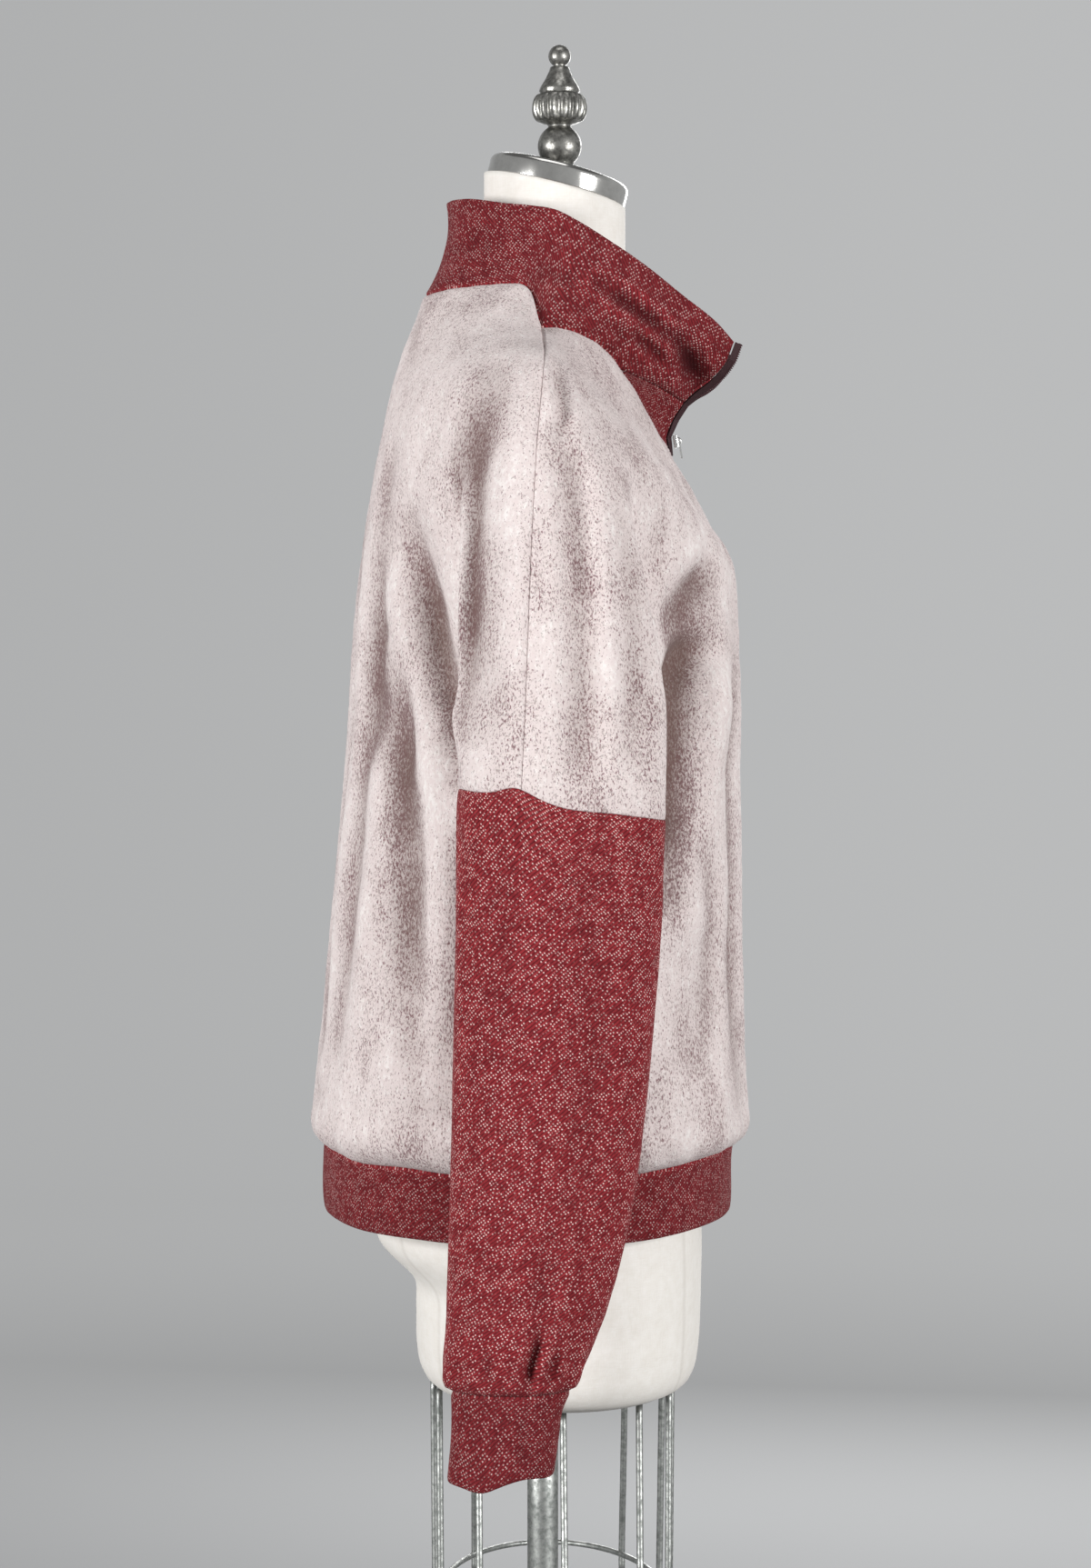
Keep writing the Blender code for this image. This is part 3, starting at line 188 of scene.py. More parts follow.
@dataclass(frozen=True)
class FleckedFleece(Finish):
    """Brushed cotton fleece spun with dark flecks: pale, matt, hairy, never quite even."""

    pale: str = "#e6dad8"
    greyed: str = "#d9cbc9"
    wine_fleck: str = "#70414a"
    taupe_fleck: str = "#8f7d7a"
    # Pale nap fibres, partly a painted highlight: thicker on crests and out of hollows
    pale_nap_highlight: str = "#f4efec"
    # Painted shade: hollows are darkened towards the under tone, by up to hollow_shade
    under: str = "#675149"
    hollow_shade: float = 0.78
    fleck_mm: float = 1.15
    taupe_mm: float = 1.4375
    nap_mm: float = 3.4
    cloud_mm: float = 34.0

    def dress(self, tree: bpy.types.NodeTree) -> dict:
        """Adds three kinds of fleck where stretched noises peak, thicker in clouds and, as painted shade, in
        hollows.

        Args:
            tree: the material's node tree.

        Returns:
            The shader's inputs.
        """
        place = add_node(tree, "TexCoord", out="Object")
        hollow = add_node(tree, "Attribute", out="Fac", attribute_name="hollow")
        one_way, other_way = (
            add_node(tree, "Mapping", {"Vector": place, "Rotation": turn, "Scale": (1.0, 1.0, stretch)})
            for turn, stretch in (((0.42, 0.3, 0.2), 0.5), ((-0.5, -0.35, 0.6), 0.62))
        )
        clouds, wine, taupe, tufts = (
            add_node(
                tree,
                "TexNoise",
                {"Vector": way, "Scale": 1 / (wave * MM), "Detail": detail, "Roughness": rough},
                "Fac",
            )
            for way, wave, detail, rough in (
                (one_way, self.cloud_mm, 3.0, 0.6),
                (one_way, self.fleck_mm, 2.0, 0.62),
                (other_way, self.taupe_mm, 2.0, 0.6),
                (other_way, self.nap_mm, 4.0, 0.7),
            )
        )
        crowd = add_node(tree, "Math", (clouds, 0.34, -0.155), **SUM)
        # Painted shade: flecks crowd into hollows and thin out on crests
        crowd = add_node(tree, "Math", (hollow, 0.17, crowd), **SUM)
        tones = {"Factor": clouds, "A": linear(self.pale), "B": linear(self.greyed)}
        colour = add_node(tree, "Mix", tones, **BLEND)
        # The pale nap thins where flecks crowd: partly random, partly a painted highlight on crests
        for noise, lean, edge, middle, strength, tone in (
            (tufts, -1.0, 0.50, 0.72, 0.75, self.pale_nap_highlight),
            (taupe, 1.0, 0.55, 0.68, 0.62, self.taupe_fleck),
            (wine, 1.0, 0.575, 0.685, 0.8, self.wine_fleck),
        ):
            raised = add_node(tree, "Math", (crowd, lean, noise), **SUM)
            mask = add_node(
                tree, "MapRange", (raised, edge, middle, 0.0, strength), interpolation_type="SMOOTHSTEP"
            )
            colour = add_node(tree, "Mix", {"Factor": mask, "A": colour, "B": linear(tone)}, **BLEND)
        # Painted shade: the hollows darken towards the under tone
        depth = add_node(tree, "MapRange", (hollow, 0.0, 1.0, 0.0, self.hollow_shade))
        colour = add_node(tree, "Mix", {"Factor": depth, "A": colour, "B": linear(self.under)}, **BLEND)
        relief = add_node(tree, "Math", (wine, -0.6, tufts), **SUM)
        bump = add_node(tree, "Bump", {"Height": relief, "Strength": 0.75, "Distance": 1.3 * MM})
        # Sheen and low specular give the eye the soft edge of brushed hair
        return {
            "Base Color": colour,
            "Normal": bump,
            "Roughness": 1.0,
            "Specular IOR Level": 0.15,
            "Sheen Weight": 0.18,
            "Sheen Roughness": 0.6,
        }


@dataclass(frozen=True)
class FleckedTwill(Finish):
    """Brushed cotton twill, wine red, whose pale weft shows as dots along slanting lines."""

    wine: str = "#9b2f35"
    deep: str = "#6f1b22"
    furrow: str = "#3f0c11"
    pale: str = "#f6cfca"
    line_mm: float = 2.2  # drawn about twice as coarse as the real twill, which is too fine to show
    dot_mm: float = 1.9
    heather_mm: float = 11.0
    slant: float = math.radians(40)

    def dress(self, tree: bpy.types.NodeTree) -> dict:
        """Adds lines across the cloth's own UV, with a jittered row of cells along each as its dots.

        Args:
            tree: the material's node tree.

        Returns:
            The shader's inputs.
        """
        cloth = add_node(tree, "UVMap", uv_map="cloth")
        turned = add_node(tree, "Mapping", {"Vector": cloth, "Rotation": (0, 0, -self.slant)})
        weave = (1 / (self.dot_mm * MM), 1 / (self.line_mm * MM), 1.0)
        threads = add_node(tree, "Mapping", {"Vector": turned, "Scale": weave})
        cells = {"Vector": threads, "Scale": 1.0, "Randomness": 0.4}
        dots = add_node(tree, "TexVoronoi", cells, "Distance", voronoi_dimensions="2D")
        waves = {"Vector": threads, "Scale": math.pi / 10, "Distortion": 0.0}
        lines = add_node(tree, "TexWave", waves, "Fac", bands_direction="Y")
        clumps = {"Vector": cloth, "Scale": 1 / (self.heather_mm * MM), "Detail": 4.0, "Roughness": 0.65}
        heather = add_node(tree, "TexNoise", clumps, "Fac")
        fuzz = {"Vector": threads, "Scale": 0.9, "Detail": 3.0, "Roughness": 0.7}
        fine = add_node(tree, "TexNoise", fuzz, "Fac")
        tone = add_node(tree, "Math", (heather, 0.9, fine), **SUM)
        tone = add_node(tree, "MapRange", (tone, 0.7, 1.15, 0.0, 1.0))
        tones = {"Factor": tone, "A": linear(self.deep), "B": linear(self.wine)}
        colour = add_node(tree, "Mix", tones, **BLEND)
        gap = add_node(tree, "MapRange", (lines, 0.0, 0.55, 0.75, 0.0))
        colour = add_node(tree, "Mix", {"Factor": gap, "A": colour, "B": linear(self.furrow)}, **BLEND)
        spot = add_node(tree, "MapRange", (dots, 0.12, 0.36, 1.0, 0.0), interpolation_type="SMOOTHSTEP")
        chance = add_node(tree, "SeparateColor", {"Color": dots.node.outputs["Color"]})
        chance = add_node(tree, "Math", (heather, 1.1, chance), **SUM)
        chance = add_node(tree, "MapRange", (chance, 0.84, 1.42, 0.0, 0.95))
        shown = add_node(tree, "Math", (spot, chance), operation="MULTIPLY")
        colour = add_node(tree, "Mix", {"Factor": shown, "A": colour, "B": linear(self.pale)}, **BLEND)
        # Painted shade: darker towards the furrow tone in creases' hollows, and by a set amount on the
        # collar, cuffs, inset and hem band
        hollow = add_node(tree, "Attribute", out="Fac", attribute_name="hollow")
        depth = add_node(tree, "MapRange", (hollow, 0.0, 1.0, 0.0, 1.0))
        colour = add_node(tree, "Mix", {"Factor": depth, "A": colour, "B": linear(self.furrow)}, **BLEND)
        height = add_node(tree, "Math", (lines, 0.6, shown), **SUM)
        height = add_node(tree, "Math", (fine, 0.8, height), **SUM)
        bump = add_node(tree, "Bump", {"Height": height, "Strength": 0.6, "Distance": 0.5 * MM})
        # Nearly no sheen, so that the wine red stays deep where the cloth turns away
        return {
            "Base Color": colour,
            "Normal": bump,
            "Roughness": 0.95,
            "Specular IOR Level": 0.2,
            "Sheen Weight": 0.03,
            "Sheen Roughness": 0.5,
        }


@dataclass(frozen=True)
class WovenLinen(Finish):
    """Fine cream linen drawn tight over the form: nearly even, with a faint slub both ways."""

    cream: str = "#f6f3ee"
    slub: str = "#e9e4dc"
    seam_tone: str = "#a79d90"
    thread_mm: float = 0.7
    slub_mm: float = 9.0

    def dress(self, tree: bpy.types.NodeTree) -> dict:
        """Adds slubs as two noises, one stretched along the form and one round it.

        Args:
            tree: the material's node tree.

        Returns:
            The shader's inputs.
        """
        place = add_node(tree, "TexCoord", out="Object")
        heights = []
        for stretch in ((1.0, 1.0, 0.06), (0.08, 0.08, 1.0)):
            drawn = add_node(tree, "Mapping", {"Vector": place, "Scale": stretch})
            thread = {"Vector": drawn, "Scale": 1 / (self.thread_mm * MM), "Detail": 2.0}
            heights.append(add_node(tree, "TexNoise", thread, "Fac"))
        weave = add_node(tree, "Math", heights, operation="ADD")
        patches = {"Vector": place, "Scale": 1 / (self.slub_mm * MM), "Detail": 5.0, "Roughness": 0.7}
        tone = add_node(tree, "Math", (weave, 0.35, add_node(tree, "TexNoise", patches, "Fac")), **SUM)
        tone = add_node(tree, "MapRange", (tone, 0.55, 1.15, 0.0, 1.0))
        tones = {"Factor": tone, "A": linear(self.slub), "B": linear(self.cream)}
        colour = add_node(tree, "Mix", tones, **BLEND)
        seam = add_node(tree, "Attribute", out="Fac", attribute_name="seam")
        colour = add_node(tree, "Mix", {"Factor": seam, "A": colour, "B": linear(self.seam_tone)}, **BLEND)
        bump = add_node(tree, "Bump", {"Height": weave, "Strength": 0.35, "Distance": 0.2 * MM})
        return {"Base Color": colour, "Normal": bump, "Roughness": 0.92, "Sheen Weight": 0.08}


@dataclass(frozen=True)
class Metal(Finish):
    """A bare metal whose tone and gloss wander in spots, as cast, plated or polished work does."""

    light: str = "#c8c8c6"
    dark: str = "#8f8f8d"
    gloss: float = 0.3
    dull: float = 0.5
    spot_mm: float = 6.0
    relief_mm: float = 0.05
    relief_scale_mm: float = 1.0

    def dress(self, tree: bpy.types.NodeTree) -> dict:
        """Adds spots of two tones and two roughnesses, and a fine unevenness.

        Args:
            tree: the material's node tree.

        Returns:
            The shader's inputs.
        """
        place = add_node(tree, "TexCoord", out="Object")
        spots = {"Vector": place, "Scale": 1 / (self.spot_mm * MM), "Detail": 4.0, "Roughness": 0.6}
        noise = add_node(tree, "TexNoise", spots, "Fac")
        mask = add_node(tree, "MapRange", (noise, 0.35, 0.65, 0.0, 1.0))
        tones = {"Factor": mask, "A": linear(self.light), "B": linear(self.dark)}
        colour = add_node(tree, "Mix", tones, **BLEND)
        rough = add_node(tree, "MapRange", (noise, 0.35, 0.65, self.gloss, self.dull))
        fine = {"Vector": place, "Scale": 1 / (self.relief_scale_mm * MM), "Detail": 3.0}
        grain = add_node(tree, "TexNoise", fine, "Fac")
        bump = add_node(tree, "Bump", {"Height": grain, "Strength": 0.5, "Distance": self.relief_mm * MM})
        return {"Base Color": colour, "Normal": bump, "Roughness": rough, "Metallic": 1.0}


@dataclass(frozen=True)
class Thread(Finish):
    """Spun or woven polyester, as sewing thread and zip tape have: even, with a low soft shine."""

    tone: str = "#3a141b"
    shade: str = "#210b10"
    twist_mm: float = 0.6

    def dress(self, tree: bpy.types.NodeTree) -> dict:
        """Adds a fine two-tone mottle for the twist of the yarn."""
        place = add_node(tree, "TexCoord", out="Object")
        twist = {"Vector": place, "Scale": 1 / (self.twist_mm * MM), "Detail": 2.0}
        noise = add_node(tree, "TexNoise", twist, "Fac")
        tones = {"Factor": noise, "A": linear(self.shade), "B": linear(self.tone)}
        colour = add_node(tree, "Mix", tones, **BLEND)
        bump = add_node(tree, "Bump", {"Height": noise, "Strength": 0.5, "Distance": 0.15 * MM})
        return {"Base Color": colour, "Normal": bump, "Roughness": 0.6}


@dataclass(frozen=True)
class StudioPaper(Finish):
    """Matt grey background paper: one soft tone with no gloss."""

    tone: str = "#9fa0a1"
    second_tone: str = "#9b9c9d"
    glow_left: float = 0.335
    glow_right: float = 0.41
    reach: float = 2.2
    floor_dimming: float = 0.4
    lit_floor: tuple[float, float] = (6.0, 1.5)

    def dress(self, tree: bpy.types.NodeTree) -> dict:
        """Adds a barely uneven tone, and painted light: a glow that evens out what the lamps do to wall and
        floor.

        Args:
            tree: the material's node tree.

        Returns:
            The shader's inputs.
        """
        place = add_node(tree, "TexCoord", out="Object")
        noise = add_node(tree, "TexNoise", {"Vector": place, "Scale": 0.9, "Detail": 3.0}, "Fac")
        tones = {"Factor": noise, "A": linear(self.tone), "B": linear(self.second_tone)}
        colour = add_node(tree, "Mix", tones, **BLEND)
        across = add_node(tree, "SeparateXYZ", (place,), "Y")
        spread = (across, -self.reach, self.reach, self.glow_right, self.glow_left)
        glow = add_node(tree, "MapRange", spread, interpolation_type="SMOOTHSTEP")
        away = add_node(tree, "VectorMath", (place,), "Value", operation="LENGTH")
        lit = add_node(tree, "MapRange", (away, *self.lit_floor, 0.0, 1.0))
        lit = add_node(tree, "Math", (lit, 2.0), operation="POWER")
        # Painted light: the glow, weaker where the lamps light the floor
        glow = add_node(tree, "Math", (lit, -self.floor_dimming, glow), **SUM)
        return {
            "Base Color": colour,
            "Roughness": 1.0,
            "Specular IOR Level": 0.0,
            "Emission Strength": glow,
            "Emission Color": (0.985, 0.995, 1.0, 1.0),
        }


FLEECE = FleckedFleece("brushed_flecked_fleece", "fleece")
TWILL = FleckedTwill("brushed_flecked_twill", "twill")
LINEN = WovenLinen("woven_linen", "linen")
ZIP_TAPE = Thread("woven_zip_tape", "zip_tape")
ZIP_COIL = Thread("moulded_zip_coil", "zip_tape", tone="#4a1a22", shade="#2a0d13")
PALE_THREAD = Thread("spun_thread_pale", "fleece", tone="#c9b4b4", shade="#9d8486")
ZIP_METAL = Metal("nickel_plated_zinc", "zip_metal", "#e4e4e2", "#c4c4c2", 0.18, 0.3, 2.0, 0.02, 0.5)
POLISHED = Metal("polished_steel", "polished_steel", "#c9c8c5", "#b4b3b0", 0.13, 0.2, 14.0, 0.004, 0.8)
CAST = Metal("cast_pewter", "cast_metal", "#a5a49f", "#5e5d5a", 0.3, 0.48, 3.2, 0.25, 1.6)
GALVANISED = Metal("galvanised_steel", "galvanised_steel", "#aeb0ad", "#7d807d", 0.42, 0.6, 4.0, 0.05, 1.2)
PAPER = StudioPaper("background_paper", "")


# Curves and noise


def smooth(knots: Sequence[float], values: Array, at: Array) -> Array:
    """A smooth curve through values at knots: cubic pieces whose slopes are the neighbours' mean.

    Args:
        knots: rising places of the values.
        values: one row for each knot.
        at: the places to read.

    Returns:
        One row of values for each place.
    """
    knots = np.asarray(knots, float)
    values = np.asarray(values, float).reshape(len(knots), -1)
    at = np.asarray(at, float)
    chord = np.diff(values, axis=0) / np.diff(knots)[:, None]
    slope = np.vstack([chord[:1], (chord[1:] + chord[:-1]) / 2, chord[-1:]])
    piece = np.clip(np.searchsorted(knots, at, side="right") - 1, 0, len(knots) - 2)
    width = (knots[piece + 1] - knots[piece])[:, None]
    t = (at - knots[piece])[:, None] / width
    start = values[piece] * (2 * t**3 - 3 * t**2 + 1) + slope[piece] * width * (t**3 - 2 * t**2 + t)
    end = values[piece + 1] * (3 * t**2 - 2 * t**3) + slope[piece + 1] * width * (t**3 - t**2)
    return start + end


def shares_along(lines: Array) -> Array:
    """How far along each line of points each point lies, as a share of the line's length."""
    steps = np.linalg.norm(np.diff(lines, axis=-2), axis=-1)
    along = np.concatenate([np.zeros_like(steps[..., :1]), np.cumsum(steps, axis=-1)], axis=-1)
    return along / along[..., -1:]


def resampled(lines: Array, shares: Array) -> Array:
    """Reads many lines of points at the same shares of their lengths, by straight steps.

    Args:
        lines: rows of points, rows x points x 3.
        shares: the shares to read, from 0 to 1.

    Returns:
        The points, rows x shares x 3.
    """
    along = shares_along(lines)
    low = (along[:, :, None] <= shares[None, None, :]).sum(axis=1) - 1
    low = np.clip(low, 0, lines.shape[1] - 2)
    row = np.arange(len(lines))[:, None]
    start, end = along[row, low], along[row, low + 1]
    part = ((shares - start) / np.maximum(end - start, 1e-12))[..., None]
    return lines[row, low] + (lines[row, low + 1] - lines[row, low]) * np.clip(part, 0, 1)


def smooth_line(points: Path, shares: Array, samples: int = 600) -> Array:
    """A smooth line through a few points, read at the given shares of its length.

    Args:
        points: the line's points.
        shares: the shares of its length.
        samples: the fineness with which its length is measured.

    Returns:
        The points.
    """
    knots = np.asarray(points, float)
    dense = smooth(shares_along(knots), knots, np.linspace(0, 1, samples))
    return resampled(dense[None], np.asarray(shares, float))[0]


def rows_at(rows: Sequence[NamedTuple], knots: Sequence[float], at: Array) -> NamedTuple:
    """A table's named columns between its rows, each as one upright array."""
    return type(rows[0])(*(column[:, None] for column in smooth(knots, np.array(rows), at).T))


def eased(share: Array) -> Array:
    """Rises from 0 to 1 with flat ends."""
    share = np.clip(share, 0, 1)
    return share * share * (3 - 2 * share)


def value_noise(points: Array, wavelength: float, seed: int) -> Array:
    """Smooth noise from -1 to 1: random values at the corners of cubes, blended inside each cube.

    Args:
        points: the places, in the wavelength's unit.
        wavelength: the cubes' side.
        seed: which noise of many.

    Returns:
        One value for each place.
    """
    scaled = points / wavelength
    cell = np.floor(scaled).astype(np.int64)
    part = eased(scaled - cell)
    total = np.zeros(len(points))
    for corner in np.ndindex(2, 2, 2):
        key = cell + np.array(corner)
        mixed = (key[:, 0] * 73856093) ^ (key[:, 1] * 19349663) ^ (key[:, 2] * 83492791) ^ (seed * 40503)
        mixed = (mixed ^ (mixed >> 13)) * 1274126177
        value = ((mixed ^ (mixed >> 16)) & 0xFFFF) / 0x8000 - 1
        total += value * np.prod(np.where(corner, part, 1 - part), axis=1)
    return total


def grid_faces(index: Array, closed: bool = False) -> Array:
    """The four-sided faces of a grid of point numbers, whose rows may close into rings."""
    if closed:
        index = np.concatenate([index, index[:, :1]], axis=1)
    corners = (index[:-1, :-1], index[1:, :-1], index[1:, 1:], index[:-1, 1:])
    return np.stack([corner.ravel() for corner in corners], axis=1)


def numbered(rows: int, columns: int) -> Array:
    """The numbers of a grid's points."""
    return np.arange(rows * columns).reshape(rows, columns)


def face_normals(points: Array, faces: Array) -> Array:
    """The unit normals of four-sided faces, from their diagonals."""
    corner = points[faces]
    across = np.cross(corner[:, 2] - corner[:, 0], corner[:, 3] - corner[:, 1])
    return across / np.maximum(np.linalg.norm(across, axis=1, keepdims=True), 1e-12)


def point_normals(points: Array, faces: Array) -> tuple[Array, Array]:
    """For each point the mean normal of its faces, and how far that leans from them.

    Args:
        points: the sheet's points.
        faces: its four-sided faces.

    Returns:
        The unit normals, and the mean cosine between each and its faces' own.
    """
    unit = face_normals(points, faces)
    normals = np.zeros_like(points)
    for corner in range(4):
        np.add.at(normals, faces[:, corner], unit)
    normals /= np.maximum(np.linalg.norm(normals, axis=1, keepdims=True), 1e-12)
    lean, count = np.zeros(len(points)), np.zeros(len(points))
    for corner in range(4):
        np.add.at(lean, faces[:, corner], (unit * normals[faces[:, corner]]).sum(axis=1))
        np.add.at(count, faces[:, corner], 1)
    return normals, lean / np.maximum(count, 1)


# Objects


def mesh_piece(
    name: str,
    shape: tuple[Array, Array],
    finish: Finish,
    replaces: str = "",
    uv: Array | None = None,
    attributes: dict[str, Array] | None = None,
) -> bpy.types.Object:
    """Makes one smooth piece at the origin, on the garment's body if its finish has a slot, hiding the solid
    it stands for.

    Args:
        name: the piece's name.
        shape: its points in millimetres and its four-sided faces.
        finish: its finish, without a slot where the piece is of the studio.
        replaces: the solid that it stands for.
        uv: the cloth's own coordinates in metres, for each corner of each face.
        attributes: named values, one for each point.

    Returns:
        The new object, in the scene.
    """
    points, faces = shape
    mesh = bpy.data.meshes.new(name)
    mesh.vertices.add(len(points))
    mesh.vertices.foreach_set("co", np.ascontiguousarray(points * MM, np.float32).ravel())
    mesh.loops.add(faces.size)
    mesh.loops.foreach_set("vertex_index", np.ascontiguousarray(faces, np.int32).ravel())
    mesh.polygons.add(len(faces))
    mesh.polygons.foreach_set("loop_start", np.arange(len(faces), dtype=np.int32) * faces.shape[1])
    mesh.polygons.foreach_set("use_smooth", np.ones(len(faces), bool))
    if uv is not None:
        layer = mesh.uv_layers.new(name="cloth")
        layer.data.foreach_set("uv", np.ascontiguousarray(uv, np.float32).ravel())
    for key, values in (attributes or {}).items():
        mesh.attributes.new(key, "FLOAT", "POINT").data.foreach_set("value", values.astype(np.float32))
    mesh.update(calc_edges=True)
    mesh.validate(clean_customdata=False)
    mesh.materials.append(finish.material())
    piece = bpy.data.objects.new(name, mesh)
    bpy.context.scene.collection.objects.link(piece)
    if finish.slot:
        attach(piece, GARMENT_BODY)
    if replaces:
        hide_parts(replaces)
    LOG.info("%s: %d faces", name, len(faces))
    return piece


# The sweatshirt's surface


class Ring(NamedTuple):
    """A ring above the underarm, from centre front over the sleeve to centre back."""

    front_z: float
    back_z: float
    seam_out: float
    seam_y: float
    seam_z: float
    front_y: float
    back_y: float
    front_full: float
    back_full: float
    valley_out: float
    front_valley: float
    back_valley: float
    sharpness: float


class BodyRing(NamedTuple):
    """A ring of the body or the hem band."""

    z: float
    front_y: float
    back_y: float
    half_width: float
    side_y: float


class SleeveRing(NamedTuple):
    """A ring of a sleeve or a cuff, which leans by `lean` for each millimetre towards the back."""

    z: float
    lean: float
    front_y: float
    back_y: float
    inner_out: float
    outer_out: float
    inner_y: float
    outer_y: float


class Fold(NamedTuple):
    """One of the solids' large folds: a trough along a line seen from the side."""

    half: Half
    top_y: float
    top_z: float
    bottom_y: float
    bottom_z: float
    depth: float
    half_width: float


UPPER_RINGS = (
    Ring(1291, 1410, 105, 4.5, 1377.5, -94.0, 84.0, 1.35, 1.4, 84, 0, 0, 2.0),
    Ring(1264, 1376, 148, 4.0, 1363.5, -110.0, 97.0, 1.33, 1.8, 116, 0, 0, 2.0),
    Ring(1241, 1340, 186, 5.0, 1349.0, -122.5, 108.5, 1.42, 1.9, 148, 0, 0, 2.0),
    Ring(1220, 1300, 212, 8.0, 1322.0, -134.5, 117.0, 1.62, 2.0, 170, 4, 3, 1.9),
    Ring(1200, 1255, 234, 12.0, 1280.0, -137.2, 125.0, 2.05, 2.0, 186, 24, 13, 1.6),
    Ring(1172, 1205, 252, 15.5, 1222.0, -137.5, 132.0, 2.30, 1.9, 196, 55, 32, 1.1),
    Ring(1145, 1160, 265, 18.0, 1166.0, -137.3, 135.0, 2.45, 1.9, 202, 86, 62, 0.85),
    Ring(1118, 1118, 274, 20.0, 1118.0, -137.2, 136.5, 2.50, 1.8, 206, 106, 93, 0.62),
)
FRONT_NECKLINE = (
    (0, -94, 1291), (15, -84, 1306.5), (35, -73, 1322.5), (50, -64, 1338), (70, -48.5, 1358.6),
    (82, -38.4, 1368), (93, -23.4, 1374.7), (102, -6, 1378), (105, 4.5, 1377.5),
)
BACK_NECKLINE = (
    (0, 84, 1410), (27, 79, 1410), (48, 67.5, 1410.5), (65, 48.5, 1410.6), (76, 29, 1411),
    (82, 16, 1409), (87, 10.5, 1403), (95, 8, 1394), (101, 6, 1384), (105, 4.5, 1377.5),
)
BODY_RINGS = (
    BodyRing(1118, -137.2, 136.5, 206.0, 5.0),
    BodyRing(1070, -137.8, 140.0, 203.5, 6.0),
    BodyRing(1010, -139.0, 146.0, 203.0, 7.5),
    BodyRing(950, -139.7, 151.5, 204.0, 9.0),
    BodyRing(890, -142.5, 157.0, 205.0, 10.5),
    BodyRing(850, -144.2, 161.8, 205.0, 11.0),
    BodyRing(828, -143.8, 162.6, 203.5, 11.5),
    BodyRing(816, -140.8, 160.5, 199.0, 11.7),
    BodyRing(809, -134.5, 155.8, 190.0, 11.7),
)
HEM_RINGS = (
    BodyRing(809.0, -134.5, 155.8, 190.0, 11.7),
    BodyRing(800.0, -133.2, 156.4, 188.0, 11.7),
    BodyRing(770.0, -133.0, 156.6, 187.5, 11.7),
    BodyRing(760.5, -132.0, 155.4, 186.5, 11.7),
)
UPPER_SLEEVE_RINGS = (
    SleeveRing(1118, 0.00, -71.0, 59.5, 206.0, 274.0, 5.0, 20.0),
    SleeveRing(1086, 0.07, -72.6, 61.5, 209.5, 281.0, 4.0, 21.5),
    SleeveRing(1053, 0.15, -72.6, 63.0, 211.0, 285.5, 3.0, 23.0),
)
LOWER_SLEEVE_RINGS = (
    SleeveRing(1053, 0.15, -72.6, 63.0, 211.0, 285.5, 3.0, 23.0),
    SleeveRing(1046, 0.14, -72.4, 63.6, 210.8, 287.0, 2.8, 22.0),
    SleeveRing(1010, 0.10, -70.5, 64.3, 211.0, 288.5, 2.0, 15.0),
    SleeveRing(953, 0.05, -67.5, 65.4, 212.0, 289.0, 1.0, 8.0),
    SleeveRing(895, 0.02, -63.0, 66.8, 212.0, 288.5, 2.0, 5.0),
    SleeveRing(836, 0.00, -57.0, 68.2, 213.0, 288.0, 5.0, 6.0),
    SleeveRing(785, 0.00, -49.5, 69.0, 214.5, 287.0, 10.0, 10.0),
    SleeveRing(740, 0.00, -38.5, 70.4, 216.5, 285.0, 16.0, 16.0),
    SleeveRing(708, 0.00, -28.0, 72.0, 218.5, 283.0, 22.0, 22.0),
    SleeveRing(686, 0.00, -19.5, 74.2, 220.0, 281.0, 27.0, 27.0),
    SleeveRing(676, 0.00, -15.5, 73.0, 221.5, 279.5, 29.0, 29.0),
    SleeveRing(671, 0.00, -10.5, 68.2, 224.0, 277.0, 30.0, 30.0),
)
CUFF_RINGS = (
    SleeveRing(671, 0.00, -10.5, 68.2, 224.0, 277.0, 30.0, 30.0),
    SleeveRing(658, -0.02, -5.0, 67.8, 223.0, 277.5, 31.0, 31.0),
    SleeveRing(640, -0.04, -2.5, 68.4, 222.5, 277.5, 33.0, 33.0),
    SleeveRing(616, -0.06, 0.5, 71.0, 222.5, 277.5, 35.5, 35.5),
)
FOLDS = (
    Fold(Half.BACK, 92, 1235, 66, 1120, 7.0, 17.0),
    Fold(Half.BACK, 108, 1120, 92, 890, 5.0, 20.0),
    Fold(Half.FRONT, -105, 1160, -92, 1040, 6.0, 18.0),
    Fold(Half.FRONT, -98, 960, -104, 860, 3.5, 18.0),
    Fold(Half.FRONT, -20, 1280, -18, 1075, 4.0, 15.0),
)
PANEL_ZONES = {"inner": Zone.TORSO, "body": Zone.TORSO, "outer": Zone.SLEEVE, "sleeve": Zone.SLEEVE}
COLLAR_TOP = (
    (45, -134, 1373), (50, -121, 1387), (57, -95, 1407), (65, -71, 1425), (72, -46, 1441),
    (78, -22, 1455), (80, -5, 1462.5), (77, 12, 1465), (68, 28, 1467.5), (45, 53, 1473.5),
    (24, 64, 1475.5), (0, 69, 1476.5),
)
COLLAR_ZIP_EDGE = (
    (15, -100, 1332), (22, -108, 1339.5), (32, -119, 1348), (40.5, -128.5, 1359), (45, -134, 1373),
)
INSET_ZIP_EDGE = ((5.6, -89.9, 1297.5), (5.8, -88.5, 1307), (8.5, -93, 1320.5), (15, -100, 1332))
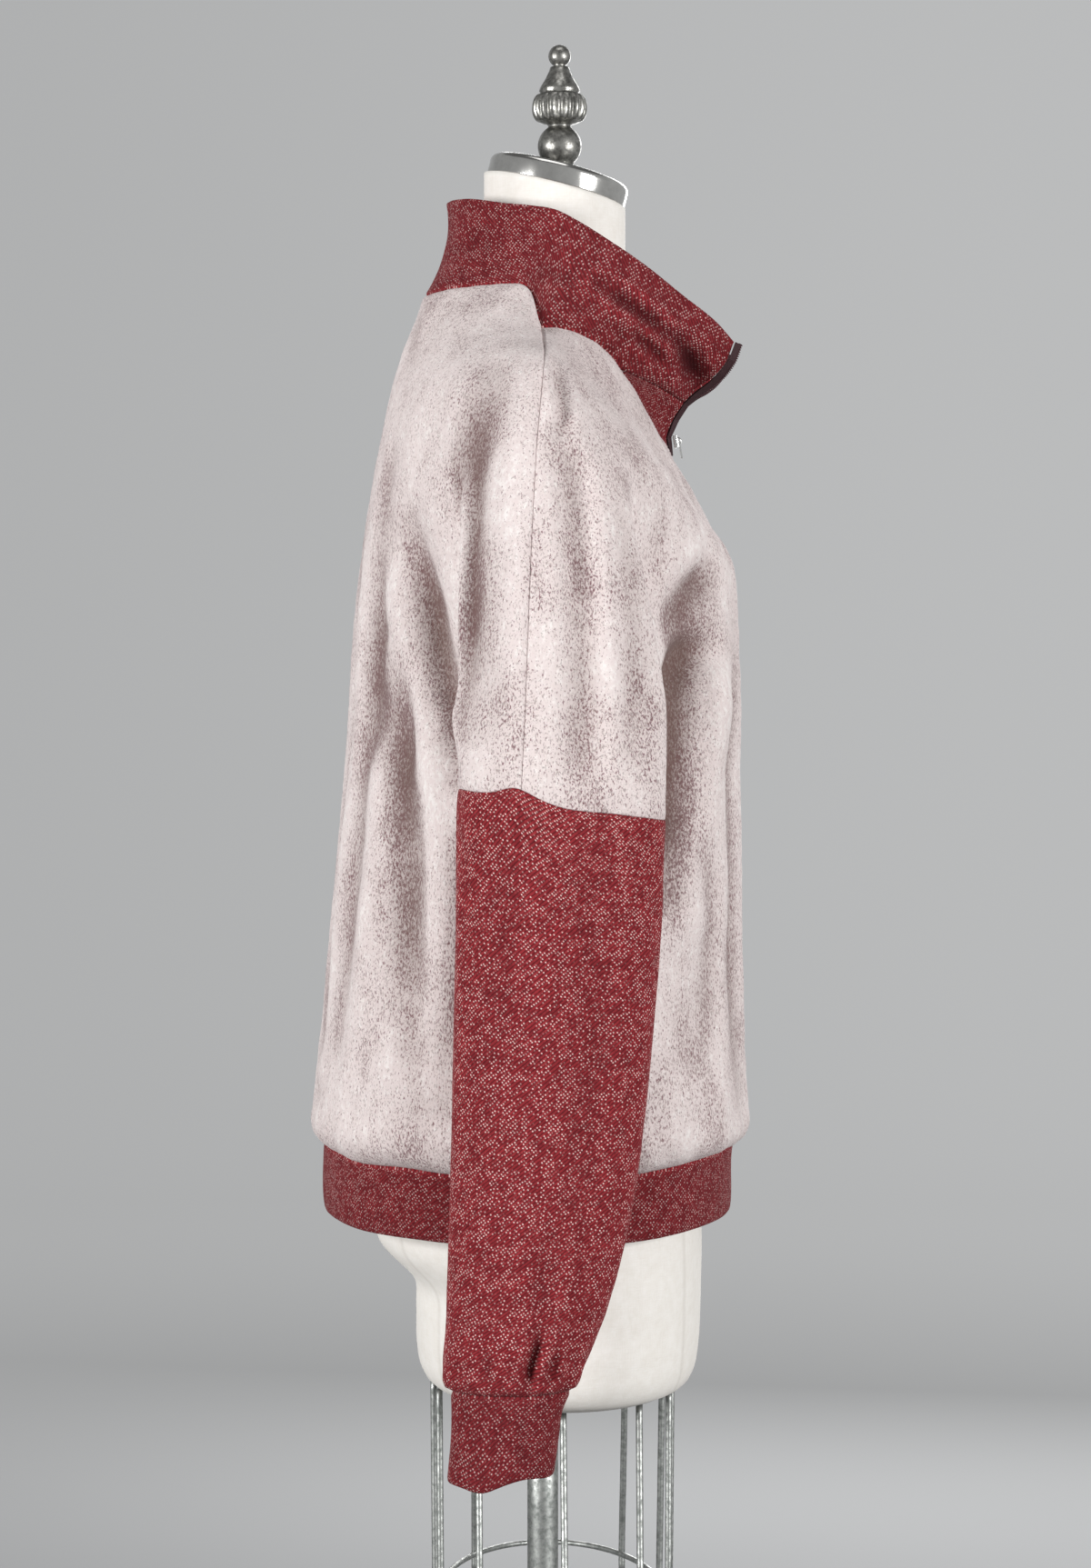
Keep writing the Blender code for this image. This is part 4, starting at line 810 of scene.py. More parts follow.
# The zip tape's free edge above the slider, and its sewn edge beside it, on the left side
TAPE_FREE_EDGE = (
    (2.2, -92.6, 1312.5), (4.6, -96.95, 1321.2), (11.05, -103.8, 1331.8), (18.2, -111.8, 1338.15),
    (26.45, -120.15, 1343.15), (34.25, -128.05, 1349.95), (40.35, -134.85, 1359.7), (43.45, -139.1, 1371.6),
)
TAPE_SEWN_EDGE = (
    (5.9, -89.6, 1312.2), (7.95, -93.25, 1321.65), (14.25, -100.05, 1332.5), (21.0, -108.0, 1339.75),
    (28.4, -116.25, 1345.65), (35.3, -124.0, 1352.65), (40.85, -130.35, 1361.75), (44.15, -134.35, 1373.1),
)


@dataclass
class Patch:
    """A grid of the garment's surface: its piece, its points in millimetres and its UV in metres."""

    piece: str
    points: Array
    uv: Array
    zone: Zone
    turned: bool
    side: Side


@dataclass
class SweatshirtCut:
    """Works out the garment's smooth surface as grids, before any small crease."""

    torso_columns: int = 84
    sleeve_columns: int = 42
    upper_rows: int = 84
    row_crowding: float = 1.15
    torso_rows: int = 84
    upper_sleeve_rows: int = 20
    lower_sleeve_rows: int = 108
    cuff_rows: int = 18
    hem_rows: int = 16
    collar_rows: int = 34
    inset_rows: int = 14
    inset_share_of_columns: float = 8 / 11
    curve_samples: int = 400
    ring_rise: float = 1.7
    underarm: tuple[float, float, float] = (206.0, 5.0, 1118.0)
    valley_to_chest: float = 150.0
    valley_to_sleeve: float = 45.0
    neckline_fade: float = 0.28
    underarm_fade: float = 55.0
    zip_clear: float = 0.034
    inset_share: float = 0.54
    neckline_split: float = 0.73
    body_fullness: float = 2.3
    sleeve_fullness: float = 2.1
    fold_run_out: float = 0.15
    fold_clear_of_middle: float = 60.0
    fold_inwards: float = 0.75
    fold_across: float = 0.65
    neck_centre_y: float = -9.0
    inset_swell: float = 2.0
    collar_swell_front: float = 4.0
    collar_swell_back: float = -7.0
    collar_swell_turn: float = 0.25
    collar_swell_change: float = 0.4
    zip_edge_reach: float = 0.12

    def upper_lines(self, levels: Array, half: Half) -> list[Array]:
        """The rings above the underarm, from the middle to the valley and on to the overarm seam.

        A ring's depth falls from the middle to the seam as a superellipse does, less a valley whose
        profile is the square of one minus a power of the distance from its lowest line.

        Args:
            levels: shares of the way down the table of rings.
            half: the front or the back.

        Returns:
            Two stacks of lines, rows x samples x 3.
        """
        ring = rows_at(UPPER_RINGS, np.linspace(0, 1, len(UPPER_RINGS)), levels)
        front = half is Half.FRONT
        middle_y = ring.front_y if front else ring.back_y
        middle_z = ring.front_z if front else ring.back_z
        full = ring.front_full if front else ring.back_full
        depth = ring.front_valley if front else -ring.back_valley
        turn = np.linspace(0, 1, self.curve_samples)
        inner = turn * ring.valley_out
        outer = ring.valley_out + (ring.seam_out - ring.valley_out) * np.sin(turn * np.pi / 2)
        parts = []
        for out, reach in ((inner, self.valley_to_chest), (outer, self.valley_to_sleeve)):
            share = np.clip(out / ring.seam_out, 0, 1)
            swell = (1 - share**full) ** (1 / full)
            gap = np.clip(np.abs(out - ring.valley_out) / reach, 0, 1)
            y = ring.seam_y + (middle_y - ring.seam_y) * swell + depth * (1 - gap**ring.sharpness) ** 2
            z = middle_z + (ring.seam_z - middle_z) * share**self.ring_rise
            parts.append(np.stack([out, y, z], axis=-1))
        return parts

    def quarter(self, start: Array, end: Array, fullness: float) -> Array:
        """Superellipse quarters, each from a point where it runs sideways to one where it runs back.

        Args:
            start: the first points, rows x 3.
            end: the last points, rows x 3.
            fullness: the superellipse's power.

        Returns:
            The lines, rows x samples x 3.
        """
        angle = np.linspace(0, np.pi / 2, self.curve_samples)[None]
        across, down = np.sin(angle) ** (2 / fullness), np.cos(angle) ** (2 / fullness)
        out = start[:, :1] + (end[:, :1] - start[:, :1]) * across
        y = end[:, 1:2] + (start[:, 1:2] - end[:, 1:2]) * down
        z = start[:, 2:] + (end[:, 2:] - start[:, 2:]) * across
        return np.stack([out, y, z], axis=-1)

    def body_rows(self, ring: BodyRing, half: Half) -> Array:
        """Quarters of body rings, from the middle to the side seam."""
        middle_y = ring.front_y if half is Half.FRONT else ring.back_y
        start = np.hstack([np.zeros_like(ring.z), middle_y, ring.z])
        end = np.hstack([ring.half_width, ring.side_y, ring.z])
        share = np.linspace(0, 1, self.torso_columns + 1)
        return resampled(self.quarter(start, end, self.body_fullness), share)

    def sleeve_rows(self, ring: SleeveRing, half: Half) -> Array:
        """Halves of sleeve rings, from the underarm seam over the front or back to the overarm seam."""
        far_y = ring.front_y if half is Half.FRONT else ring.back_y
        far = np.hstack([(ring.inner_out + ring.outer_out) / 2, far_y, ring.z])
        inner = self.quarter(far, np.hstack([ring.inner_out, ring.inner_y, ring.z]), self.sleeve_fullness)
        outer = self.quarter(far, np.hstack([ring.outer_out, ring.outer_y, ring.z]), self.sleeve_fullness)
        line = np.concatenate([inner[:, ::-1], outer[:, 1:]], axis=1)
        line = resampled(line, np.linspace(0, 1, self.sleeve_columns + 1))
        line[..., 2] = ring.z + ring.lean * line[..., 1]
        return line

    def inset_column(self) -> int:
        """The neckline's column where the collar, the inset and the front panel meet."""
        return round(self.torso_columns * self.inset_share_of_columns)

    def neckline(self, half: Half) -> tuple[Array, Array]:
        """The neckline's points, those beside the torso's columns and those beside the sleeve's."""
        outer = np.linspace(self.neckline_split, 1, self.sleeve_columns + 1)
        if half is Half.BACK:
            inner = np.linspace(0, self.neckline_split, self.torso_columns + 1)
            return smooth_line(BACK_NECKLINE, inner), smooth_line(BACK_NECKLINE, outer)
        column = self.inset_column()
        inset = np.linspace(self.zip_clear, self.inset_share, column)
        rest = np.linspace(self.inset_share, self.neckline_split, self.torso_columns - column + 1)
        inner = np.concatenate([[0.0], inset, rest[1:]])
        return smooth_line(FRONT_NECKLINE, inner), smooth_line(FRONT_NECKLINE, outer)

    def settled(self, grid: Array, first_row: Array, drop: Array) -> Array:
        """A grid with its first row moved onto another line, the move fading out further down."""
        fade = eased(1 - drop / self.underarm_fade)[:, None, None]
        return grid + fade * (first_row - grid[0])

    def folded(self, grid: Array, half: Half) -> Array:
        """A grid with the solids' large folds sunk into it: bell-shaped troughs along straight lines."""
        out, y, z = np.moveaxis(grid, -1, 0)
        sunk = np.zeros_like(y)
        for fold in FOLDS:
            if fold.half is not half:
                continue
            share = (fold.top_z - z) / (fold.top_z - fold.bottom_z)
            line_y = fold.top_y + (fold.bottom_y - fold.top_y) * share
            from_end = np.minimum(share, 1 - share) + self.fold_run_out
            near = np.exp(-(((y - line_y) / fold.half_width) ** 2))
            sunk += fold.depth * near * eased(from_end / (2 * self.fold_run_out))
        sunk *= np.clip(out / self.fold_clear_of_middle, 0, 1)
        moved = grid.copy()
        moved[..., 0] -= sunk * self.fold_inwards
        moved[..., 1] -= sunk * self.fold_across * np.sign(y - self.underarm[1])
        return moved

    def panel(self, half: Half) -> dict[str, Array]:
        """The four grids of the front or the back panel, for the side where out is positive."""
        levels = np.linspace(0, 1, self.upper_rows + 1)
        columns = (np.linspace(0, 1, self.torso_columns + 1), np.linspace(0, 1, self.sleeve_columns + 1))
        grids = [resampled(lines, share) for lines, share in zip(self.upper_lines(levels, half), columns)]
        fade = eased(1 - levels / self.neckline_fade)[:, None, None]
        for grid, own in zip(grids, self.neckline(half)):
            grid += fade * (own - grid[0])
        grids[0][-1, -1] = grids[1][-1, 0] = self.underarm
        heights = np.array([ring.z for ring in BODY_RINGS])
        share = 1 - (1 - np.linspace(0, 1, self.torso_rows + 1)) ** self.row_crowding
        steps = heights[0] + (heights[-1] - heights[0]) * share
        body = self.body_rows(rows_at(BODY_RINGS[::-1], heights[::-1], steps), half)
        body = self.settled(body, grids[0][-1], heights[0] - steps)
        knots = np.linspace(0, 1, len(UPPER_SLEEVE_RINGS))
        rings = rows_at(UPPER_SLEEVE_RINGS, knots, np.linspace(0, 1, self.upper_sleeve_rows + 1))
        sleeve = self.settled(self.sleeve_rows(rings, half), grids[1][-1], rings.z[0, 0] - rings.z[:, 0])
        panel = {"inner": grids[0], "outer": grids[1], "body": body, "sleeve": sleeve}
        panel = {name: self.folded(grid, half) for name, grid in panel.items()}
        panel["inner"][-1, -1] = panel["outer"][-1, 0] = self.underarm
        panel["body"][0, -1] = panel["sleeve"][0, 0] = self.underarm
        return panel

    def share_side_lines(self, front: dict[str, Array], back: dict[str, Array]) -> None:
        """Gives front and back one line where they meet: the overarm, side and underarm seams."""
        for place, column in (("outer", -1), ("body", -1), ("sleeve", 0), ("sleeve", -1)):
            shared = (front[place][:, column] + back[place][:, column]) / 2
            front[place][:, column] = shared
            back[place][:, column] = shared
        for panel in (front, back):
            panel["outer"][-1] = panel["sleeve"][0]

    def collar(self, front: dict[str, Array], back: dict[str, Array]) -> tuple[Array, Array]:
        """The inset and the collar of one side, from the neckline's own points.

        The collar is a straight blend from its seam to its top edge, swollen outwards in the middle of
        its height in front and hollowed at the back. Near the zip it follows the zip's own curve.

        Args:
            front: the front panel's grids.
            back: the back panel's grids.

        Returns:
            The inset's grid and the collar's.
        """
        front_line = np.concatenate([front["inner"][0], front["outer"][0][1:]])
        back_line = np.concatenate([back["inner"][0], back["outer"][0][1:]])
        column = self.inset_column()
        corner = front_line[column]
        shares = np.linspace(0, 1, column)[:, None]
        inset_top = np.array(COLLAR_ZIP_EDGE[0]) * (1 - shares) + corner * shares
        inset_top[:, 1] -= self.inset_swell * np.sin(np.pi * shares[:, 0])
        bottom = front_line[1 : column + 1]
        rise = np.linspace(0, 1, self.inset_rows + 1)
        edge = smooth_line((tuple(bottom[0]), *INSET_ZIP_EDGE[1:]), rise)
        inset = bottom[None] * (1 - rise[:, None, None]) + inset_top[None] * rise[:, None, None]
        inset += (edge - inset[:, 0])[:, None] * (1 - shares)[None]
        seam = np.concatenate([inset_top, front_line[column + 1 :], back_line[-2::-1]])
        along = shares_along(seam)
        rise = np.linspace(0, 1, self.collar_rows + 1)
        edge = smooth_line(COLLAR_ZIP_EDGE, rise)
        backwards = np.clip((along - self.collar_swell_turn) / self.collar_swell_change, 0, 1)
        swell = self.collar_swell_front + (self.collar_swell_back - self.collar_swell_front) * backwards
        away = seam - np.array([0.0, self.neck_centre_y, 0.0])
        away[:, 2] = 0
        away /= np.linalg.norm(away, axis=1, keepdims=True)
        rise = rise[:, None, None]
        collar = seam[None] * (1 - rise) + smooth_line(COLLAR_TOP, along)[None] * rise
        collar += (away * swell[:, None])[None] * 4 * rise * (1 - rise)
        near = np.clip(1 - along / self.zip_edge_reach, 0, 1)[None, :, None]
        collar += (edge - collar[:, 0])[:, None] * near**2
        collar[:, -1, 0] = 0.0
        return inset, collar

    def own_uv(self, grid: Array, column: int, sign: float) -> Array:
        """A grid's UV in metres: the way round from one column, and the way down that column.

        Args:
            grid: the points, in millimetres.
            column: the column that U is counted from.
            sign: 1 or -1, the way that U runs.

        Returns:
            The UV, rows x columns x 2.
        """
        across = np.linalg.norm(np.diff(grid, axis=1), axis=2)
        u = np.concatenate([np.zeros((len(grid), 1)), np.cumsum(across, axis=1)], axis=1)
        u = (u - u[:, column][:, None]) * sign
        down = np.linalg.norm(np.diff(grid[:, column], axis=0), axis=1)
        v = -np.concatenate([[0.0], np.cumsum(down)])[:, None] + np.zeros_like(u)
        return np.stack([u, v], axis=-1) * MM

    def sleeve_grids(self, panels: dict[Half, dict[str, Array]], half: Half) -> dict[str, Array]:
        """The lower sleeve and the cuff, hung from the upper sleeve's last ring."""
        grids = {}
        for piece, table, rows in (
            ("lower_sleeve", LOWER_SLEEVE_RINGS, self.lower_sleeve_rows),
            ("cuff", CUFF_RINGS, self.cuff_rows),
        ):
            heights = np.array([ring.z for ring in table])
            levels = np.linspace(heights[0], heights[-1], rows + 1)
            grids[piece] = self.sleeve_rows(rows_at(table[::-1], heights[::-1], levels), half)
            if piece == "lower_sleeve":
                drop = heights[0] - levels
                grids[piece] = self.settled(grids[piece], panels[half]["sleeve"][-1], drop)
        return grids

    def patches(self) -> list[Patch]:
        """Every patch of the garment's surface, right and left."""
        panels = {half: self.panel(half) for half in Half}
        self.share_side_lines(panels[Half.FRONT], panels[Half.BACK])
        inset, collar = self.collar(panels[Half.FRONT], panels[Half.BACK])
        heights = np.array([ring.z for ring in HEM_RINGS])
        levels = np.linspace(heights[0], heights[-1], self.hem_rows + 1)
        found = []
        for side in Side:
            for half in Half:
                turned = half is Half.BACK
                way = float(-side.value) * (1 if half is Half.FRONT else -1)
                add = self.patch_adder(found, side, turned)
                for name, zone in PANEL_ZONES.items():
                    add(f"{half.value}_panel", panels[half][name], zone, -1, way)
                for name, grid in self.sleeve_grids(panels, half).items():
                    add(f"{name}_{side.name.lower()}", grid, Zone.SLEEVE, -1, -way)
                hem = self.body_rows(rows_at(HEM_RINGS[::-1], heights[::-1], levels), half)
                hem = self.settled(hem, panels[half]["body"][-1], heights[0] - levels)
                add("hem_band", hem, Zone.TORSO, -1, -way)
            add = self.patch_adder(found, side, True)
            add(f"front_inset_{side.name.lower()}", inset, Zone.COLLAR, 0, float(side.value))
            add("collar", collar, Zone.COLLAR, 0, float(side.value))
        return found

    def patch_adder(self, found: list[Patch], side: Side, turned: bool):
        """A function that adds one side's patch to the list, mirrored where that side is the right."""

        def add(piece: str, grid: Array, zone: Zone, column: int, way: float) -> None:
            points = grid.copy()
            points[..., 0] *= side.value
            found.append(Patch(piece, points, self.own_uv(grid, column, way), zone, turned, side))

        return add


# Creases


class Crease(NamedTuple):
    """A crease along a path of (y, z), or of (x, z) where it is seen from the front or the back."""

    side: Side
    zone: Zone
    view: View
    path: Path
    depth: float
    half_width: float
    ridge: float = 0.25


TORSO, SLEEVE, COLLAR = Zone.TORSO, Zone.SLEEVE, Zone.COLLAR
SIDE, FRONT, BACK = View.SIDE, View.FRONT, View.BACK
# Groups of a side, a zone, a view and its creases, each a path, a depth, a half width and perhaps a ridge
CREASE_GROUPS = (
    # Right side of the back: the drag from the shoulder blade down past the sleeve
    (Side.RIGHT, TORSO, SIDE, (
        (((117, 1163), (106, 1086), (99, 1026), (97, 960), (90, 890)), 7.0, 13),
        (((92, 1245), (84, 1195), (77, 1157), (69, 1122), (62, 1070)), 10.0, 10, 0.35),
    )),
    (Side.RIGHT, SLEEVE, SIDE, (
        (((40, 1340), (53, 1290), (59, 1230), (60, 1162), (61, 1102)), 8.8, 13, 0.3),
    )),
    (Side.RIGHT, TORSO, SIDE, (
        (((84, 1262), (80, 1240), (74, 1205)), -3.9, 9, 0.0),
        (((138, 1120), (136, 1060), (134, 1000)), 1.6, 12),
        (((124, 1010), (124, 930), (120, 850)), -2.2, 11, 0.0),
        (((70, 1060), (64, 980), (66, 900), (70, 850)), 4.6, 9),
        (((100, 905), (92, 870), (90, 828)), 1.6, 8),
    )),
    # Right sleeve: the pull from the neckline's corner down the front of the overarm seam
    (Side.RIGHT, SLEEVE, SIDE, (
        (((-2, 1348), (-5, 1330), (-7, 1305), (-4, 1296)), 4.0, 4.5, 0.4),
        (((-4, 1299), (-10, 1274), (-14, 1242), (-16, 1210), (-18, 1175)), 3.6, 9, 0.4),
        (((-17, 1190), (-19, 1135), (-18, 1096), (-22, 1057)), 2.9, 10, 0.3),
        (((-42, 1262), (-50, 1200), (-52, 1140), (-50, 1085)), 2.5, 9, 0.3),
        (((34, 1250), (38, 1190), (38, 1120), (41, 1075)), 1.9, 8, 0.3),
        (((-30, 1042), (-22, 980), (-24, 900), (-16, 830), (-8, 760)), 2.0, 13),
        (((34, 1030), (38, 950), (40, 870)), 1.7, 12),
        (((8, 990), (10, 920), (14, 850)), -1.6, 12, 0.0),
    )),
    # Right chest, in front of the sleeve
    (Side.RIGHT, TORSO, SIDE, (
        (((-107, 1196), (-99, 1176), (-92, 1146), (-86, 1110), (-81, 1060), (-80, 990)), 14.5, 14, 0.25),
        (((-84, 985), (-88, 930), (-90, 877)), 2.0, 11),
        (((-118, 1080), (-116, 1040), (-118, 1000)), 0.9, 11),
        (((-104, 1150), (-112, 1130), (-114, 1095)), -2.7, 8, 0.0),
    )),
    # Right collar: three pulls from the neckline's corner, and the hollow behind the zip
    (Side.RIGHT, COLLAR, SIDE, (
        (((-38, 1410), (-58, 1397), (-74, 1385), (-92, 1371)), 4.8, 5.0, 0.6),
        (((-43, 1384), (-50, 1377), (-56, 1371)), 2.2, 3.5, 0.5),
        (((-58, 1380), (-70, 1371), (-86, 1356)), 4.2, 4.5, 0.5),
        (((-96, 1371), (-102, 1358), (-109, 1344)), 7.2, 7.5, 0.3),
        (((60, 1440), (48, 1443), (34, 1441)), 1.2, 6),
        (((10, 1425), (-8, 1418), (-26, 1408)), 1.6, 6, 0.4),
    )),
    # Right cuff: the gathers' deepest folds
    (Side.RIGHT, SLEEVE, SIDE, (
        (((11, 712), (14, 700), (17, 690), (19, 678)), 5.6, 4.2, 0.5),
        (((1, 700), (3, 691), (6, 680)), 4.4, 3.2, 0.5),
        (((44, 700), (46, 688), (44, 678)), 2.8, 4.0, 0.5),
        (((8, 770), (10, 740), (11, 715)), 2.6, 8, 0.4),
        (((22, 655), (20, 640), (22, 622)), 1.1, 5),
    )),
    # Left side of the back
    (Side.LEFT, TORSO, SIDE, (
        (((112, 1180), (106, 1096), (94, 1030), (86, 960), (80, 880)), 5.7, 12),
        (((92, 1210), (84, 1170), (74, 1140), (64, 1104)), 6.9, 9, 0.5),
        (((88, 1250), (82, 1222), (76, 1190)), -3.3, 9, 0.0),
        (((138, 1100), (130, 1010), (128, 930), (124, 850)), 3.6, 12),
        (((64, 1040), (62, 960), (68, 880)), 3.4, 9),
        (((104, 920), (98, 880), (100, 832)), 2.8, 8),
    )),
    # Left sleeve
    (Side.LEFT, SLEEVE, SIDE, (
        (((44, 1322), (50, 1262), (54, 1200), (55, 1140)), 4.3, 11, 0.4),
        (((2, 1346), (-3, 1322), (-8, 1300), (-12, 1262), (-13, 1222)), 3.4, 7, 0.4),
        (((-12, 1228), (-20, 1180), (-22, 1120), (-20, 1064)), 2.9, 10, 0.3),
        (((-44, 1240), (-50, 1180), (-48, 1120)), 2.3, 9, 0.3),
        (((-26, 1036), (-28, 960), (-20, 880), (-14, 800)), 2.2, 13),
        (((36, 1020), (34, 930), (40, 850)), 1.9, 12),
        (((4, 970), (8, 900), (12, 830)), -1.6, 12, 0.0),
    )),
    # Left chest
    (Side.LEFT, TORSO, SIDE, (
        (((-108, 1180), (-98, 1160), (-90, 1130), (-84, 1090), (-86, 1050)), 9.0, 11, 0.3),
        (((-88, 1000), (-86, 930), (-92, 866)), 3.6, 10),
        (((-120, 1060), (-118, 990), (-124, 900)), 2.2, 10),
    )),
    # Left collar
    (Side.LEFT, COLLAR, SIDE, (
        (((-38, 1404), (-58, 1393), (-76, 1378), (-90, 1368)), 3.2, 4.5, 0.6),
        (((-56, 1376), (-70, 1366), (-82, 1356)), 2.7, 4.5, 0.5),
        (((-98, 1366), (-104, 1354), (-110, 1346)), 4.6, 6.5, 0.3),
        (((14, 1430), (-6, 1424), (-22, 1412)), 1.6, 6, 0.4),
    )),
    # Left cuff
    (Side.LEFT, SLEEVE, SIDE, (
        (((14, 710), (17, 700), (20, 688), (22, 678)), 4.7, 4.0, 0.5),
        (((3, 699), (5, 690), (8, 680)), 3.7, 3.4, 0.5),
        (((48, 700), (47, 688), (48, 678)), 3.1, 4.0, 0.5),
        (((36, 744), (30, 720), (28, 702)), 1.9, 7),
    )),
    # Front: soft hangs from the chest, and drags from the underarms
    (Side.RIGHT, TORSO, FRONT, (
        (((-84, 1170), (-92, 1090), (-88, 1000), (-94, 900), (-92, 850)), 4.8, 16, 0.4),
    )),
    (Side.LEFT, TORSO, FRONT, (
        (((78, 1180), (88, 1080), (84, 980), (90, 880)), 5.1, 17, 0.4),
    )),
    (Side.RIGHT, TORSO, FRONT, (
        (((-36, 1120), (-30, 1030), (-38, 930), (-34, 850)), 2.8, 15, 0.3),
    )),
    (Side.LEFT, TORSO, FRONT, (
        (((28, 1080), (38, 990), (34, 900)), 3.2, 15, 0.3),
    )),
    (Side.RIGHT, TORSO, FRONT, (
        (((-166, 1168), (-138, 1196), (-108, 1214)), 4.2, 10, 0.5),
    )),
    (Side.LEFT, TORSO, FRONT, (
        (((164, 1176), (140, 1200), (114, 1222)), 3.9, 10, 0.5),
    )),
    (Side.RIGHT, TORSO, FRONT, (
        (((-160, 1128), (-134, 1150), (-104, 1160)), 2.8, 9, 0.4),
    )),
    (Side.LEFT, TORSO, FRONT, (
        (((158, 1120), (130, 1146), (100, 1150)), 3.2, 9, 0.4),
    )),
    (Side.RIGHT, TORSO, FRONT, (
        (((-12, 1284), (-40, 1250), (-70, 1206)), 2.2, 8, 0.4),
    )),
    (Side.LEFT, TORSO, FRONT, (
        (((12, 1286), (36, 1246), (60, 1212)), 2.1, 8, 0.4),
    )),
    (Side.RIGHT, TORSO, FRONT, (
        (((-140, 1040), (-132, 960), (-138, 870)), 3.9, 13, 0.3),
    )),
    (Side.LEFT, TORSO, FRONT, (
        (((138, 1050), (134, 950), (142, 862)), 3.6, 13, 0.3),
    )),
    (Side.RIGHT, TORSO, FRONT, (
        (((-60, 872), (-40, 850), (-14, 844)), 2.1, 8),
    )),
    (Side.LEFT, TORSO, FRONT, (
        (((66, 866), (44, 846), (20, 842)), 2.0, 8),
    )),
    # Back: long soft hangs below the shoulder blades
    (Side.RIGHT, TORSO, BACK, (
        (((-96, 1280), (-104, 1190), (-96, 1090), (-102, 980), (-98, 880)), 5.1, 17, 0.4),
    )),
    (Side.LEFT, TORSO, BACK, (
        (((92, 1290), (100, 1200), (104, 1100), (98, 990), (104, 890)), 5.4, 17, 0.4),
    )),
    (Side.RIGHT, TORSO, BACK, (
        (((-34, 1200), (-44, 1100), (-38, 990), (-46, 880)), 3.4, 15, 0.3),
    )),
    (Side.LEFT, TORSO, BACK, (
        (((36, 1180), (30, 1080), (42, 970), (38, 870)), 3.3, 15, 0.3),
    )),
    (Side.RIGHT, TORSO, BACK, (
        (((-150, 1180), (-140, 1120), (-146, 1040)), 4.5, 13, 0.3),
    )),
    (Side.LEFT, TORSO, BACK, (
        (((152, 1170), (142, 1110), (150, 1030)), 4.2, 13, 0.3),
    )),
    (Side.RIGHT, TORSO, BACK, (
        (((-140, 960), (-146, 900), (-138, 850)), 3.3, 12, 0.3),
    )),
    (Side.LEFT, TORSO, BACK, (
        (((138, 950), (146, 890), (140, 846)), 3.4, 12, 0.3),
    )),
    (Side.RIGHT, TORSO, BACK, (
        (((-20, 862), (-52, 846), (-84, 852)), 2.4, 9),
    )),
    (Side.LEFT, TORSO, BACK, (
        (((14, 872), (50, 852), (88, 848)), 2.2, 9),
    )),
    (Side.RIGHT, TORSO, BACK, (
        (((-10, 1392), (-44, 1376), (-70, 1352)), 1.8, 9),
    )),
    (Side.LEFT, TORSO, BACK, (
        (((12, 1394), (40, 1380), (74, 1350)), 1.8, 9),
    )),
)
CREASES = [Crease(*group[:3], *row) for group in CREASE_GROUPS for row in group[3]]


@dataclass
class Gathers:
    """Small uneven waves where a wide edge is drawn in to a narrow band."""

    piece: str
    seam_z: float
    height: float
    wave_mm: float
    depth: float
    seed: int
    fade: float = 2.2
    gain: float = 1.9
    least_strength: float = 0.65
    strength_reach: float = 3.3
    drift: float = 3.2
    drift_reach: float = 2.6

    def push(self, points: Array, around: Array, member: Array) -> Array:
        """How far the cloth stands out: a cosine round the seam, uneven in step, dying out upwards.

        Args:
            points: the sheet's points.
            around: the way round the piece to each, in millimetres.
            member: which points belong to the piece.

        Returns:
            The push in millimetres.
        """
        above = points[:, 2] - self.seam_z
        rise = np.clip(above / self.height, 0, 1)
        envelope = rise * np.exp(1 - rise) * np.exp(-self.fade * rise) * self.gain
        envelope = np.where(above > 0.01, envelope, 0.0)
        hanging = points * np.array([1.0, 1.0, 0.25])
        drift = value_noise(hanging, self.wave_mm * self.drift_reach, self.seed)
        noise = value_noise(points, self.wave_mm * self.strength_reach, self.seed + 1)
        strength = self.least_strength + (1 - self.least_strength) * noise
        phase = around / self.wave_mm * 2 * np.pi + self.drift * drift
        return np.where(member, envelope * strength * self.depth * np.cos(phase), 0.0)


class Bell(NamedTuple):
    """A bell-shaped weight along a line: where its middle lies and how far it reaches."""

    middle: float
    reach: float

    def at(self, place: Array) -> Array:
        """The weight at each place, 1 in the middle."""
        return np.exp(-(((place - self.middle) / self.reach) ** 2))


# The ridge beside a crease, in half widths of its trough
RIDGE = Bell(2.0, 0.85)
# In millimetres: the drop and the blousing over the hem band, along Z
OVER_BAND, BLOUSE = Bell(812, 22), Bell(822, 11)
# The sleeve seam's rise behind the arm: two along Y and one along Z
SEAM_RISE, SEAM_DIP, SEAM_HEIGHT = Bell(27, 15), Bell(-12, 18), Bell(1057, 34)
# The cuff's edge, along Y
CUFF_DROP, CUFF_LIFT = Bell(50, 13), Bell(18, 13)
# Each layer of unevenness: height, wavelength, how much of Z counts, seed
FLEECE_LOFT = ((1.25, 42.0, 0.45, 3), (0.55, 19.0, 0.45, 4), (0.28, 8.0, 1.0, 5))
TWILL_LOFT = ((0.55, 46.0, 0.45, 6), (0.25, 15.0, 1.0, 7))
GATHERS = (
    Gathers("lower_sleeve_right", 671.0, 34.0, 23.0, 2.3, 11),
    Gathers("lower_sleeve_left", 671.0, 34.0, 23.0, 2.3, 21),
    Gathers("front_panel", 809.0, 30.0, 27.0, 1.3, 31),
    Gathers("back_panel", 809.0, 30.0, 27.0, 1.3, 31),
)
# Pieces made darker all over by painted shade
PAINTED_SHADE_PIECES = ("collar", "hem_band", "front_inset_right", "front_inset_left", "cuff_right", "cuff_left")


